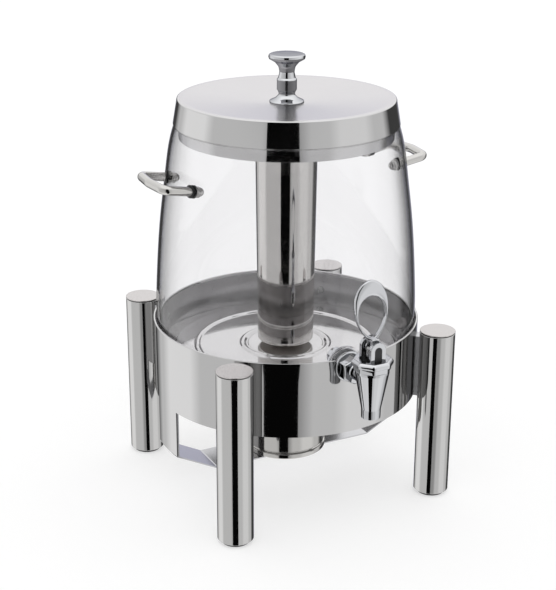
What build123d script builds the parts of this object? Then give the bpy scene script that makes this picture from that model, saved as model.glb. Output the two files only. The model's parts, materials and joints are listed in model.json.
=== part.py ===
from build123d import *

import math
import os

# Coffee urn on a four-legged stand: a clear shell with a steel pan and a central ice tube lifts out of
# a steel ring, a lever tap draws from it, and a fuel holder under the pan keeps it warm.
# Everything is drawn about the urn's own axis and moved by AXIS_Y at the end, so that the origin is
# under the middle of the whole object. +Z is up and the tap points along -Y. Lengths are in mm.

# ---- stand: ring, posts, bracket
RING_R = 150.0            # outside radius of the ring
RING_WALL = 1.5
RING_Z = (113.0, 197.8)   # bottom and top edge
HEM_WIDTH = 2.4           # folded top edge, measured inwards
HEM_HEIGHT = 3.0
NOTCH_HALF = 15.0         # half width of the open notch that the tap's shank sits in
TAB_HALF = 24.0           # half width of the two tabs that carry the bracket
TAB_Z = 59.4              # where the tabs end
LEDGE_Z = 153.0           # top of the ledge that the vessel stands on
LEDGE_R = 126.0
SHEET = 1.5               # ledge and bracket sheet
POST_R = 19.6
POST_WALL = 1.5
POST_CENTRE = 175.8       # radius of the circle that the posts stand on
POST_Z = (3.8, 195.6)     # tube ends
CAP_TOP = 197.8
CAP_GROOVE = 0.9
FOOT_R = 15.8
FOOT_HEIGHT = 4.8
SPACER_HALF = 7.0
SPACER_Z = (119.0, 190.0)
SCREW_Z = (128.0, 173.4)  # heights of the screws that hold each post
SCREW_R = 2.5
FLAT_HALF = 98.5          # half length of the bracket's flat middle
FLAT_Z = 32.8             # underside of that flat
LEG_TOP = 127.0           # upper end of the bracket's legs, behind the ring's wall

# ---- fuel holder
HOLDER_R = 47.0
HOLDER_WALL = 1.2
HOLDER_TOP = 88.0
COVER_HINGE_R = 52.5
COVER_TOP = 90.4

# ---- vessel
SHELL_TOP = 417.6
SHELL_WALL = 3.0
SHELL_OUTER = [           # (radius, height) of the clear shell's outside
    (122.4, 417.6), (126.6, 403.0), (132.7, 365.6), (138.9, 318.8),
    (143.2, 271.9), (145.6, 232.0), (146.2, 208.0), (144.6, 188.0), (139.4, 168.0),
]
BASE_R = 131.0            # foot of the shell
BASE_IN = 104.0           # hole in the shell's floor
FLOOR_Z = (154.2, 158.6)  # shell's floor under the pan flange
PAN_FLANGE_R = 126.0
PAN_FLANGE_Z = 160.0
PAN_TOP = [               # (radius, height) of the pan's upper side, from the flange to the middle
    (126.0, 161.2), (104.2, 161.2), (103.2, 163.1), (101.0, 163.8), (98.6, 162.8), (97.5, 161.5),
    (52.4, 161.5), (50.8, 163.2), (49.2, 164.0), (47.2, 163.2), (44.9, 160.9), (43.6, 160.9),
    (42.4, 162.0), (0.0, 162.0),
]
STUD_CIRCLE = 114.0
STUD_COUNT = 8

# ---- vessel handles
HANDLE_Z = 365.0          # where the legs meet the shell
HANDLE_HALF = 32.0        # half the distance between the legs
HANDLE_REACH = 158.4      # grip centre line from the axis
HANDLE_TILT = 9.4         # degrees, square to the shell's wall
HANDLE_ROD = 5.0
HANDLE_BOW = 3.5
HANDLE_BEND = 7.5
HANDLE_GAP = 1.2          # thickness of the soft outer washer, which lies on the shell
WASHER_R = 7.0
NUT_SEAT = -5.4           # nut's seat along the leg, inside the shell
SHELL_AT_HANDLE = 132.8   # shell's outside radius there

# ---- ice tube and its carrier
TUBE_R = (31.5, 34.5)     # outside radius at the bottom and under the flange
TUBE_WALL = 1.2
TUBE_BOTTOM = 167.6
TUBE_FLANGE_R = 40.5
CARRIER_R = 122.4
CARRIER_SHEET = 1.2
COLLAR_R = 117.0
COLLAR_Z = 404.0

# ---- lid
LID_R = (123.3, 118.4)    # outside radius at the bottom and top edge
LID_Z = (418.8, 446.4)
LID_WALL = 1.2
LID_DISH = 440.8          # top face at the middle
LID_FLAT_R = 22.0         # flat seat of the knob
KNOB_TOP = 493.0

# ---- tap
TAP_TURN = -1.5           # degrees about the urn's axis by which the tap and its notch stand off -Y
TAP_Y = -199.3            # axis of the spout, in the tap's own frame before that turn
TAP_Z = 190.0             # axis of the shank
PAD_Y = -145.2            # outer face of the flat pad on the shell
PAD_IN = -140.8
PAD_R = 18.5
SHANK_R = 9.5
FLANGE_R = 16.6
FLANGE_Y = (-150.6, -154.0)
HEXAGON_END = -167.0
SPOUT = [(10.0, 152.0), (10.2, 162.0), (17.8, 202.8)]
OUTLET_R = 7.0            # bore of the spout's straight end
BONNET_R = (19.6, 22.0)   # corner radius of the lower and upper tier
BONNET_Z = (205.7, 217.6)
TIER_Z = (210.9, 211.5)   # groove between the tiers
BONNET_RECESS = 214.2
BONNET_ROOF = 211.0       # underside of the bonnet's roof
SPIGOT_R = 13.4           # body's neck inside the bonnet
PIVOT_Z = 229.0
EAR_R = 8.8
EAR_Y = (7.6, 12.0)       # inner and outer face of each ear from the spout's axis
EAR_SLOT = 3.9            # half width of the slot in each ear that the bearing stands in
BEARING_Y = 11.5          # outer face of the bearing's uprights
PIN_R = 2.2
CHEEK_Y = (3.2, 7.3)      # inner and outer face of each lever cheek
CRANK = (-2.6, -1.5)      # lifting bar from the pivot, sideways and upwards
CRANK_R = 1.8
STEM_R = 2.6
SEAT_Z = 184.0
LOOP_Z = (236.8, 302.4)   # bottom and top of the lever's loop
LOOP_HALF = 19.0
LOOP_DEPTH = 6.0
LOOP_LEAN = -4.5          # degrees about the pivot, towards -X

REACH_FRONT = (-TAP_Y * math.cos(math.radians(TAP_TURN))
               + BONNET_R[1] * math.cos(math.radians(22.5 + TAP_TURN)))
AXIS_Y = (REACH_FRONT - RING_R) / 2

POST_ANGLES = {"front_left": 225, "front_right": 315, "back_left": 135, "back_right": 45}


# ---- helpers
def outline(points, rounds=()):
    """Closed flat outline of (radius, height) corners; rounds lists (corner number, radius)."""
    sketch = make_face(Polyline(*points, close=True))
    for corner, radius in rounds:
        vertex = sketch.vertices().sort_by_distance(Vector(*points[corner], 0))[0]
        sketch = fillet(vertex, radius)
    return sketch


def turned(points, rounds=()):
    """Solid of revolution about the urn's axis."""
    return revolve(Plane.XZ * outline(points, rounds), Axis.Z, 360)


def rod(radius, low, high, x=0.0, y=0.0):
    """Upright cylinder between two heights."""
    return Pos(x, y, (low + high) / 2) * Cylinder(radius, high - low)


def block(low, high):
    """Box between two opposite corners."""
    size = [abs(b - a) for a, b in zip(low, high)]
    middle = [(a + b) / 2 for a, b in zip(low, high)]
    return Pos(*middle) * Box(*size)


def bar_y(radius, near, far, z, x=0.0):
    """Cylinder along Y between two places."""
    return Pos(x, (near + far) / 2, z) * Rot(90, 0, 0) * Cylinder(radius, abs(far - near))


def bar_out(radius, near, far, z, angle):
    """Cylinder pointing away from the urn's axis at an angle about it."""
    return Rot(0, 0, angle) * Pos((near + far) / 2, 0, z) * Rot(0, 90, 0) * Cylinder(radius, far - near)


def prism_y(sides, across_flats, near, far, z, turn=0.0):
    """Regular prism along Y."""
    section = RegularPolygon(across_flats / 2, sides, major_radius=False)
    prism = extrude(section, (far - near) / 2, both=True)
    return Pos(0, (near + far) / 2, z) * Rot(90, 0, 0) * Rot(0, 0, turn) * prism


def post_place(angle):
    """Centre of a post in plan."""
    return (POST_CENTRE * math.cos(math.radians(angle)), POST_CENTRE * math.sin(math.radians(angle)))


def toward_tap(solid):
    """Turn a piece that was drawn along -Y to the tap's direction."""
    return Rot(0, 0, TAP_TURN) * solid


# ---- stand
def ring_band():
    low, high = RING_Z
    inner = RING_R - RING_WALL
    hem = RING_R - HEM_WIDTH
    band = turned(
        [(inner, low), (RING_R, low), (RING_R, high), (hem, high), (hem, high - HEM_HEIGHT),
         (inner, high - HEM_HEIGHT)],
        rounds=[(2, 0.9), (3, 0.9)])
    tabs = turned([(inner, TAB_Z), (RING_R, TAB_Z), (RING_R, low + 1), (inner, low + 1)])
    tabs &= block((-RING_R - 5, -TAB_HALF, TAB_Z - 5), (RING_R + 5, TAB_HALF, low + 5))
    notch = block((-NOTCH_HALF, -RING_R - 10, TAP_Z), (NOTCH_HALF, -RING_R + 20, high + 5))
    notch += bar_y(NOTCH_HALF, -RING_R - 10, -RING_R + 20, TAP_Z)
    band = band + tabs - toward_tap(notch)
    for angle in POST_ANGLES.values():
        for z in SCREW_Z:
            band -= bar_out(SCREW_R + 0.1, RING_R - 10, RING_R + 5, z, angle)
    return band


def rest_ledge():
    """Inner ledge of the ring: an angle ring welded to the wall, which the vessel stands on."""
    wall = RING_R - RING_WALL
    low = LEDGE_Z - 14
    return turned(
        [(LEDGE_R, LEDGE_Z - SHEET), (wall - SHEET, LEDGE_Z - SHEET), (wall - SHEET, low), (wall, low),
         (wall, LEDGE_Z), (LEDGE_R, LEDGE_Z)],
        rounds=[(4, 2.0), (1, 0.5)])


def burner_bracket():
    """Strap under the ring: two curved legs behind the tabs, two slopes and a flat middle."""
    outer = RING_R - RING_WALL
    legs = turned([(outer - SHEET, TAB_Z), (outer, TAB_Z), (outer, LEG_TOP), (outer - SHEET, LEG_TOP)])
    top = FLAT_Z + SHEET
    rise = TAB_Z - FLAT_Z
    drop = SHEET * 1.15
    run = RING_R + 4
    end_z = FLAT_Z + rise * (run - FLAT_HALF) / (RING_R - FLAT_HALF)
    section = [(-FLAT_HALF, FLAT_Z), (FLAT_HALF, FLAT_Z), (run, end_z), (run, end_z + drop), (FLAT_HALF, top),
               (-FLAT_HALF, top), (-run, end_z + drop), (-run, end_z)]
    strap = extrude(Plane.XZ * outline(section), TAB_HALF, both=True)
    strap &= rod(RING_R, 0, 200)
    strap += legs & block((-RING_R, -TAB_HALF, 0), (RING_R, TAB_HALF, 200))
    return strap - (turned([(outer, TAB_Z), (RING_R + 5, TAB_Z), (RING_R + 5, 200), (outer, 200)]))


def post_tube(angle):
    x, y = post_place(angle)
    low, high = POST_Z
    inner = POST_R - POST_WALL
    tube = turned([(inner, low), (POST_R, low), (POST_R, high), (inner, high)], rounds=[(1, 1.2)])
    tube = Pos(x, y, 0) * tube
    for z in SCREW_Z:
        tube -= bar_out(SCREW_R + 0.1, POST_CENTRE - POST_R - 5, POST_CENTRE - POST_R + 6, z, angle)
    return tube


def post_cap(angle):
    x, y = post_place(angle)
    end = POST_Z[1]
    plug = POST_R - POST_WALL
    return Pos(x, y, 0) * turned(
        [(0, end - 12), (plug, end - 12), (plug, end), (POST_R - 1.0, end), (POST_R - 1.0, end + CAP_GROOVE),
         (POST_R, end + CAP_GROOVE), (POST_R, CAP_TOP), (0, CAP_TOP)],
        rounds=[(6, 0.5)])


def rubber_foot(angle):
    x, y = post_place(angle)
    plug = POST_R - POST_WALL
    return Pos(x, y, 0) * turned(
        [(0, 0), (FOOT_R, 0), (FOOT_R + 0.4, FOOT_HEIGHT), (plug, FOOT_HEIGHT), (plug, FOOT_HEIGHT + 11),
         (0, FOOT_HEIGHT + 11)],
        rounds=[(1, 1.0)])


def post_spacer(angle):
    low, high = SPACER_Z
    body = block((RING_R - 5, -SPACER_HALF, low), (POST_CENTRE, SPACER_HALF, high))
    body = Rot(0, 0, angle) * body
    x, y = post_place(angle)
    body -= rod(RING_R, low - 1, high + 1)
    body -= rod(POST_R, low - 1, high + 1, x, y)
    for z in SCREW_Z:
        body -= bar_out(SCREW_R + 0.1, RING_R - 10, POST_CENTRE, z, angle)
    return body


def post_screw(angle, z):
    """Low-headed screw from inside the ring through the spacer into a captive nut in the post."""
    wall = RING_R - RING_WALL
    inside = POST_CENTRE - POST_R + POST_WALL
    head = bar_out(4.6, wall - 2.1, wall - 0.1, z, angle)
    head = fillet(head.edges().filter_by(GeomType.CIRCLE).group_by(lambda e: hypot_xy(e.center()))[0], 1.2)
    socket = extrude(RegularPolygon(1.5, 6), 1.2, both=True)
    head -= Rot(0, 0, angle) * Pos(wall - 2.1, 0, z) * Rot(0, 90, 0) * socket
    shank = bar_out(SCREW_R, wall - 0.5, inside + 4, z, angle)
    nut = extrude(RegularPolygon(4.0, 6, major_radius=False), 1.6, both=True)
    nut = Rot(0, 0, angle) * Pos(inside + 2.4, 0, z) * Rot(0, 90, 0) * nut
    return head + shank + nut


def hypot_xy(point):
    return round(math.hypot(point.X, point.Y), 3)


# ---- fuel holder
def fuel_holder():
    base = FLAT_Z + SHEET
    wall = HOLDER_R - 1.0
    cup = turned(
        [(0, base), (HOLDER_R, base), (HOLDER_R, base + 5.6), (wall - 1.2, base + 6.2),
         (wall - 1.2, base + 7.8), (wall, base + 8.4), (wall, HOLDER_TOP), (wall - HOLDER_WALL, HOLDER_TOP),
         (wall - HOLDER_WALL, base + 10.0), (0, base + 10.0)],
        rounds=[(1, 1.0), (2, 1.2), (8, 2.5)])
    hinge = rod(5.0, HOLDER_TOP - 14, HOLDER_TOP - 0.2, -COVER_HINGE_R, 0)
    hinge += block((-COVER_HINGE_R, -5.0, HOLDER_TOP - 14), (-wall + 0.4, 5.0, HOLDER_TOP - 0.2))
    hinge -= rod(wall - 0.4, 0, 200)
    return cup + hinge - rod(PIN_R, HOLDER_TOP - 20, HOLDER_TOP + 1, -COVER_HINGE_R, 0)


def snuffer_cover():
    """Swinging cover of the fuel holder with its finger tab."""
    low = HOLDER_TOP + 0.2
    cover = rod(HOLDER_R - 1.0, low, COVER_TOP)
    cover += block((-COVER_HINGE_R, -5.0, low), (-HOLDER_R + 6, 5.0, COVER_TOP))
    cover += rod(5.0, low, COVER_TOP, -COVER_HINGE_R, 0)
    cover = fillet(cover.edges().group_by(Axis.Z)[-1], 0.6)
    cover += block((30, -7.0, COVER_TOP), (34, 7.0, COVER_TOP + 12))
    return cover - rod(PIN_R + 0.05, low - 1, COVER_TOP + 1, -COVER_HINGE_R, 0)


def snuffer_pin():
    pin = rod(PIN_R, HOLDER_TOP - 14, COVER_TOP + 0.3, -COVER_HINGE_R, 0)
    return pin + rod(3.6, COVER_TOP + 0.3, COVER_TOP + 1.8, -COVER_HINGE_R, 0)


# ---- vessel
def shell_band(out_by, in_by):
    """Ring solid that follows the shell's wall, from in_by inside to out_by outside its outer face."""
    outer = [(r + out_by, z) for r, z in SHELL_OUTER]
    inner = [(r + in_by, z) for r, z in SHELL_OUTER]
    face = make_face([Spline(*outer), Line(outer[-1], inner[-1]), Spline(*inner), Line(inner[0], outer[0])])
    return revolve(Plane.XZ * face, Axis.Z, 360)


def handle_axes(side):
    """Inner end and direction of both legs of one handle; side is -1 for left and 1 for right."""
    wall_x = math.sqrt(SHELL_AT_HANDLE ** 2 - HANDLE_HALF ** 2)
    lean = math.radians(HANDLE_TILT)
    direction = Vector(side * math.cos(lean), 0, math.sin(lean))
    return [(Vector(side * wall_x, y, HANDLE_Z), direction) for y in (-HANDLE_HALF, HANDLE_HALF)]


def along(start, direction, radius, near, far):
    """Cylinder along a direction, between two distances from its start."""
    plane = Plane(origin=start + direction * near, z_dir=direction)
    return extrude(plane * Circle(radius), far - near)


def body_shell():
    lowest = SHELL_OUTER[-1]
    foot_top = 166.0
    inner = [(r - SHELL_WALL, z) for r, z in SHELL_OUTER]
    face = make_face([
        Spline(*SHELL_OUTER),
        Line(lowest, (BASE_R + 2.5, 156.5)),
        Line((BASE_R + 2.5, 156.5), (BASE_R, LEDGE_Z)),
        Line((BASE_R, LEDGE_Z), (BASE_R - 4.5, LEDGE_Z)),
        Line((BASE_R - 4.5, LEDGE_Z), (BASE_R - 5.0, FLOOR_Z[0])),
        Line((BASE_R - 5.0, FLOOR_Z[0]), (BASE_IN, FLOOR_Z[0])),
        Line((BASE_IN, FLOOR_Z[0]), (BASE_IN, FLOOR_Z[1])),
        Line((BASE_IN, FLOOR_Z[1]), (BASE_R - 2.5, FLOOR_Z[1])),
        Line((BASE_R - 2.5, FLOOR_Z[1]), (inner[-1][0] - 1.2, foot_top)),
        Line((inner[-1][0] - 1.2, foot_top), inner[-1]),
        Spline(*inner),
        Line(inner[0], SHELL_OUTER[0]),
    ])
    shell = revolve(Plane.XZ * face, Axis.Z, 360)
    shell -= toward_tap(bar_y(PAD_R, PAD_Y - 10, PAD_Y, TAP_Z))
    shell += toward_tap(bar_y(PAD_R, PAD_Y, PAD_IN, TAP_Z))
    shell -= toward_tap(bar_y(PAD_R - 1.0, PAD_IN, PAD_IN + 12, TAP_Z))
    shell -= toward_tap(bar_y(SHANK_R + 0.3, PAD_Y - 5, PAD_IN + 10, TAP_Z))
    for side in (-1, 1):
        for start, direction in handle_axes(side):
            shell -= along(start, direction, 3.2, -12, 8)
    for angle in stud_angles():
        x, y = stud_place(angle)
        shell -= rod(2.2, FLOOR_Z[0] - 2, FLOOR_Z[1] + 2, x, y)
    return shell


def stud_angles():
    return [360 / STUD_COUNT * (k + 0.5) for k in range(STUD_COUNT)]


def stud_place(angle):
    return (STUD_CIRCLE * math.cos(math.radians(angle)), STUD_CIRCLE * math.sin(math.radians(angle)))


def body_pan():
    """Steel floor of the vessel: flange, rim bead, flat floor, and a middle disc behind a raised bead."""
    pan = turned([(0, PAN_FLANGE_Z), (PAN_FLANGE_R, PAN_FLANGE_Z)] + PAN_TOP)
    for angle in stud_angles():
        x, y = stud_place(angle)
        pan += rod(2.0, FLOOR_Z[0] - 7.5, PAN_FLANGE_Z + 0.4, x, y)
    return pan


def pan_gasket():
    low, high = FLOOR_Z[1], PAN_FLANGE_Z
    gasket = turned([(BASE_IN, low), (PAN_FLANGE_R - 0.6, low), (PAN_FLANGE_R - 0.6, high), (BASE_IN, high)])
    for angle in stud_angles():
        gasket -= rod(2.0, low - 1, high + 1, *stud_place(angle))
    return gasket


def clamp_ring():
    high = FLOOR_Z[0]
    ring = turned([(BASE_IN, high - 2.0), (124.0, high - 2.0), (124.0, high), (BASE_IN, high)])
    for angle in stud_angles():
        ring -= rod(2.2, high - 5, high + 2, *stud_place(angle))
    return ring


def clamp_nut(angle):
    x, y = stud_place(angle)
    high = FLOOR_Z[0] - 2.0
    nut = extrude(RegularPolygon(3.5, 6, major_radius=False), 3.2)
    return Pos(x, y, high - 3.2) * nut - rod(2.0, high - 10, high + 5, x, y)


def vessel_handle(side):
    """Bent rod with two legs square to the wall, a bowed grip and a threaded stud on each leg."""
    front, back = handle_axes(side)
    direction = front[1]
    reach = (HANDLE_REACH - abs(front[0].X)) / math.cos(math.radians(HANDLE_TILT))
    bow = direction * HANDLE_BOW
    middle = (front[0] + back[0]) / 2 + direction * reach + bow
    corners = [front[0] - direction * 2, front[0] + direction * reach, middle,
               back[0] + direction * reach, back[0] - direction * 2]
    path = FilletPolyline(*corners, radius=[HANDLE_BEND, 3 * HANDLE_BEND, HANDLE_BEND])
    grip = sweep(Plane(origin=corners[0], z_dir=direction) * Circle(HANDLE_ROD), path)
    grip -= shell_band(HANDLE_GAP, -8.0)
    for start, out in (front, back):
        grip += along(start, out, 3.0, -13.0, 6.0)
    return grip


def handle_washer(start, direction, inside):
    """Rubber washer on the shell: a thin soft one outside and a wedge with a flat nut seat inside."""
    if inside:
        disc = along(start, direction, WASHER_R, NUT_SEAT, 0) - shell_band(8.0, -SHELL_WALL)
    else:
        disc = along(start, direction, WASHER_R, -6, 8) & shell_band(HANDLE_GAP, 0.0)
    return disc - along(start, direction, 3.2, -14, 10)


def handle_nut(start, direction):
    """Domed cap nut on the end of each leg, inside the shell."""
    seat_end = NUT_SEAT - 1.2
    hex_end = seat_end - 4.0
    seat = along(start, direction, 6.6, seat_end, NUT_SEAT)
    hexagon = extrude(Plane(origin=start + direction * seat_end, z_dir=-direction)
                      * RegularPolygon(5.5, 6, major_radius=False), seat_end - hex_end)
    dome = Pos(*(start + direction * hex_end)) * Sphere(5.0)
    dome &= along(start, direction, 8.0, hex_end - 10, hex_end)
    return hexagon + seat + dome - along(start, direction, 3.0, -13.0, 0)


# ---- ice tube and carrier
def tube_carrier():
    """Plate over the shell's mouth with a hole for the tube and a collar inside the mouth."""
    low = SHELL_TOP
    high = low + CARRIER_SHEET
    hole = TUBE_R[1] + 0.3
    return turned(
        [(hole, low), (COLLAR_R - CARRIER_SHEET, low), (COLLAR_R - CARRIER_SHEET, COLLAR_Z),
         (COLLAR_R, COLLAR_Z), (COLLAR_R, low), (CARRIER_R, low), (CARRIER_R, high), (hole, high)],
        rounds=[(6, 0.5)])


def ice_tube():
    """Closed tube that widens upwards, hung from the carrier by its flange."""
    low, wide = TUBE_R
    wall = TUBE_WALL
    flange = SHELL_TOP + CARRIER_SHEET
    return turned(
        [(0, TUBE_BOTTOM), (low, TUBE_BOTTOM), (wide, flange), (TUBE_FLANGE_R, flange),
         (TUBE_FLANGE_R, flange + wall), (wide - wall, flange + wall), (low - wall, TUBE_BOTTOM + wall),
         (0, TUBE_BOTTOM + wall)],
        rounds=[(1, 2.4), (4, 0.5), (5, 1.0)])


# ---- lid
def lid_shell():
    low, high = LID_Z
    wide, narrow = LID_R
    wall = LID_WALL
    return turned(
        [(wide - 4.2, low), (wide, low), (narrow, high), (narrow - 6, high), (LID_FLAT_R, LID_DISH),
         (2.6, LID_DISH), (2.6, LID_DISH - wall), (LID_FLAT_R, LID_DISH - wall), (narrow - 6, high - wall),
         (narrow - wall, high - wall), (wide - wall, low + wall), (wide - 4.2, low + wall)],
        rounds=[(1, 0.5), (2, 1.6), (3, 12.0), (4, 12.0), (9, 0.8)])


KNOB = [                  # (radius, height) above the lid's middle, bottom to top
    (18.7, 0.0), (18.7, 1.4), (12.4, 4.4), (8.4, 8.4), (9.8, 12.2), (10.8, 13.4), (10.8, 24.6), (9.4, 26.4),
    (8.1, 32.4), (9.2, 38.2), (13.4, 43.2), (19.4, 46.6), (20.0, 48.8), (19.4, 50.8), (17.6, 51.8),
]


def lid_knob():
    scale = (KNOB_TOP - LID_DISH) / 52.2
    profile = [(r, LID_DISH + h * scale) for r, h in KNOB]
    knob = turned([(0, LID_DISH)] + profile + [(0, KNOB_TOP)])
    return knob - rod(2.5, LID_DISH - 1, LID_DISH + 14)


def knob_screw():
    top = LID_DISH - LID_WALL
    screw = rod(2.4, top - 1, LID_DISH + 12)
    return screw + turned([(0, top - 3.2), (4.2, top - 3.2), (4.8, top - 1.2), (0, top - 1.2)]) \
        + rod(9.0, top - 1.2, top)


# ---- tap
def at_tap(solid):
    """Move a piece drawn about the urn's axis to the spout's axis."""
    return Pos(0, TAP_Y, 0) * solid


def tap_body():
    low, knee, top = SPOUT
    shoulder_z = BONNET_Z[0]
    neck_z = BONNET_ROOF - 0.2
    cone = at_tap(turned([(0, low[1]), low, knee, top, (top[0], shoulder_z), (SPIGOT_R, shoulder_z),
                          (SPIGOT_R, neck_z), (0, neck_z)], rounds=[(1, 0.6), (2, 14.0)]))
    shank = bar_y(SHANK_R, -118.0, PAD_Y, TAP_Z)
    shoulder = bar_y(12.6, PAD_Y - 2.0, FLANGE_Y[0], TAP_Z)
    flange = bar_y(FLANGE_R, *FLANGE_Y, TAP_Z)
    flange = fillet(flange.edges().filter_by(GeomType.CIRCLE), 1.2)
    sleeve = bar_y(SHANK_R, PAD_Y, PAD_Y - 2.5, TAP_Z)
    hexagon = prism_y(6, 27.0, HEXAGON_END, FLANGE_Y[1], TAP_Z, 30)
    barrel = bar_y(8.1, HEXAGON_END, TAP_Y, TAP_Z)
    body = cone + shank + shoulder + flange + sleeve + hexagon + barrel
    body -= bar_y(5.5, -110.0, TAP_Y, TAP_Z)
    body -= at_tap(rod(10.0, SEAT_Z, BONNET_ROOF + 2))
    body -= at_tap(rod(4.5, SEAT_Z - 6, SEAT_Z + 2))
    return body - at_tap(turned([(0, 140), (OUTLET_R, 140), (OUTLET_R, 162), (11.0, SEAT_Z - 7),
                                 (4.5, SEAT_Z - 3), (0, SEAT_Z - 3)]))


def tap_gasket(near, far, radius):
    return bar_y(radius, near, far, TAP_Z) - bar_y(SHANK_R, near - 5, far + 5, TAP_Z)


def tap_lock_nut():
    near = PAD_IN + 1.6
    flange = bar_y(17.0, near, near + 2.6, TAP_Z)
    flange = fillet(flange.edges().filter_by(GeomType.CIRCLE), 1.0)
    nut = prism_y(6, 27.0, near + 2.6, near + 9.6, TAP_Z)
    return flange + nut - bar_y(SHANK_R, near - 5, near + 15, TAP_Z)


def octagon(across, low, high):
    section = extrude(RegularPolygon(across / 2, 8, major_radius=False, rotation=22.5), high - low)
    return Pos(0, 0, low) * section


def tap_ears():
    """Two upright ears in the bonnet's recess, each with an open slot for the bearing."""
    inner, outer = EAR_Y
    ears = []
    for side in (-1, 1):
        ear = block((-EAR_R, side * inner, BONNET_RECESS - 0.5), (EAR_R, side * outer, PIVOT_Z))
        ear += bar_y(EAR_R, side * inner, side * outer, PIVOT_Z)
        ear -= block((-EAR_SLOT, side * (inner - 1), BONNET_RECESS), (EAR_SLOT, side * (outer + 1), PIVOT_Z))
        ears.append(ear - bar_y(EAR_SLOT, side * (inner - 1), side * (outer + 1), PIVOT_Z))
    return ears


def tap_bonnet():
    """Two-tier octagonal cap with a recess, two ears and a bore for the stem."""
    low, high = BONNET_Z
    narrow, wide = BONNET_R
    flats = 2 * math.cos(math.radians(22.5))
    cap = octagon(wide * flats, TIER_Z[1], high)
    cap &= turned([(0, TIER_Z[1]), (wide - 1.2, TIER_Z[1]), (wide, TIER_Z[1] + 1.0), (wide, high - 3.0),
                   (wide - 2.6, high), (0, high)])
    cap += rod(narrow * flats / 2 - 0.8, TIER_Z[0] - 0.2, TIER_Z[1] + 0.2)
    collar = octagon(narrow * flats, low, TIER_Z[0])
    cap += collar & turned([(0, low), (narrow - 0.8, low), (narrow, low + 0.8), (narrow, TIER_Z[0] - 0.6),
                            (narrow - 0.6, TIER_Z[0]), (0, TIER_Z[0])])
    cap -= rod(13.0, BONNET_RECESS, high + 5)
    cap -= rod(SPIGOT_R + 0.1, low - 1, BONNET_ROOF)
    for ear in tap_ears():
        cap += ear
    return at_tap(cap - rod(STEM_R + 0.06, low, high))


def tap_bearing():
    """Nylon insert: a disc on the recess's floor with an upright in each ear's slot, holed for the pins."""
    disc_top = BONNET_RECESS + 0.8
    width = EAR_SLOT - 0.04
    insert = rod(12.9, BONNET_RECESS, disc_top) - rod(STEM_R + 0.1, BONNET_RECESS - 1, disc_top + 1)
    for ear in tap_ears():
        insert -= ear
    for side in (-1, 1):
        upright = block((-width, side * EAR_Y[0], BONNET_RECESS), (width, side * BEARING_Y, PIVOT_Z))
        upright += bar_y(width, side * EAR_Y[0], side * BEARING_Y, PIVOT_Z)
        insert += upright - bar_y(PIN_R + 0.02, 0, side * (BEARING_Y - 0.5), PIVOT_Z)
    return at_tap(insert)


def tap_pivot_pin(side):
    """Stub pin from the bearing's upright into the lever's cheek."""
    return at_tap(bar_y(PIN_R, side * (CHEEK_Y[0] + 0.4), side * (BEARING_Y - 0.6), PIVOT_Z))


def loop_points(half, low, high, full):
    """Egg-shaped loop outline: corners of a smooth closed curve, widest at the height share full."""
    widest = low + (high - low) * full
    return [(0, low), (half * 0.62, low + (widest - low) * 0.32), (half, widest),
            (half * 0.72, widest + (high - widest) * 0.72), (0, high),
            (-half * 0.72, widest + (high - widest) * 0.72), (-half, widest),
            (-half * 0.62, low + (widest - low) * 0.32)]


def tap_lever():
    """Loop lever: a deep band that thickens at the top, on two cheeks joined by the lifting bar."""
    low, high = LOOP_Z
    outer = make_face(Spline(*loop_points(LOOP_HALF, low, high, 0.55), periodic=True))
    hole = make_face(Spline(*loop_points(LOOP_HALF - 3.6, low + 3.6, high - 17.0, 0.52), periodic=True))
    lever = extrude(Plane.XZ * (outer - hole), LOOP_DEPTH / 2, both=True)
    inner_y, outer_y = CHEEK_Y
    for side in (-1, 1):
        lever += block((-4.6, side * inner_y, PIVOT_Z), (4.6, side * outer_y, low + 1.0))
    lever += block((-4.6, -outer_y, low), (4.6, outer_y, low + 3.4))
    lever = Pos(0, 0, PIVOT_Z) * Rot(0, LOOP_LEAN, 0) * Pos(0, 0, -PIVOT_Z) * lever
    for side in (-1, 1):
        lever += bar_y(6.2, side * inner_y, side * outer_y, PIVOT_Z)
    crank_x, crank_z = CRANK
    lever += bar_y(CRANK_R, -inner_y - 1, inner_y + 1, PIVOT_Z + crank_z, crank_x)
    for side in (-1, 1):
        lever -= bar_y(PIN_R + 0.05, side * (inner_y + 0.3), side * (outer_y + 4), PIVOT_Z)
    return at_tap(lever)


def tap_stem():
    """Lift rod: an eye plate on the lever's bar, a rod through the bonnet and a collar for the spring."""
    crank_x, crank_z = CRANK
    bar_z = PIVOT_Z + crank_z
    eye = block((crank_x - 3.4, -2.3, PIVOT_Z - 9.0), (STEM_R, 2.3, bar_z + 1.0))
    eye += bar_y(3.4, -2.3, 2.3, bar_z, crank_x)
    eye -= block((crank_x - 0.3, -5, bar_z - CRANK_R - 0.1), (crank_x + 0.3, 5, bar_z + CRANK_R + 0.1))
    for offset in (-0.3, 0.3):
        eye -= bar_y(CRANK_R + 0.1, -5, 5, bar_z, crank_x + offset)
    shaft = rod(STEM_R, SEAT_Z + 4.0, PIVOT_Z - 6.0)
    collar = rod(6.4, SEAT_Z + 4.0, SEAT_Z + 5.6)
    stud = rod(2.0, SEAT_Z + 1.0, SEAT_Z + 4.0)
    return at_tap(eye + shaft + collar + stud)


def tap_seat():
    low = SEAT_Z
    seat = turned([(0, low), (6.0, low), (7.6, low + 1.2), (7.6, low + 4.0), (0, low + 4.0)])
    return at_tap(seat - rod(2.0, low + 1.0, low + 5))


def tap_spring():
    """Closing spring, drawn as a plain sleeve between the stem's collar and the bonnet's roof."""
    low, high = SEAT_Z + 5.6, BONNET_ROOF
    return at_tap(turned([(4.4, low), (5.6, low), (5.6, high), (4.4, high)]))


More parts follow.
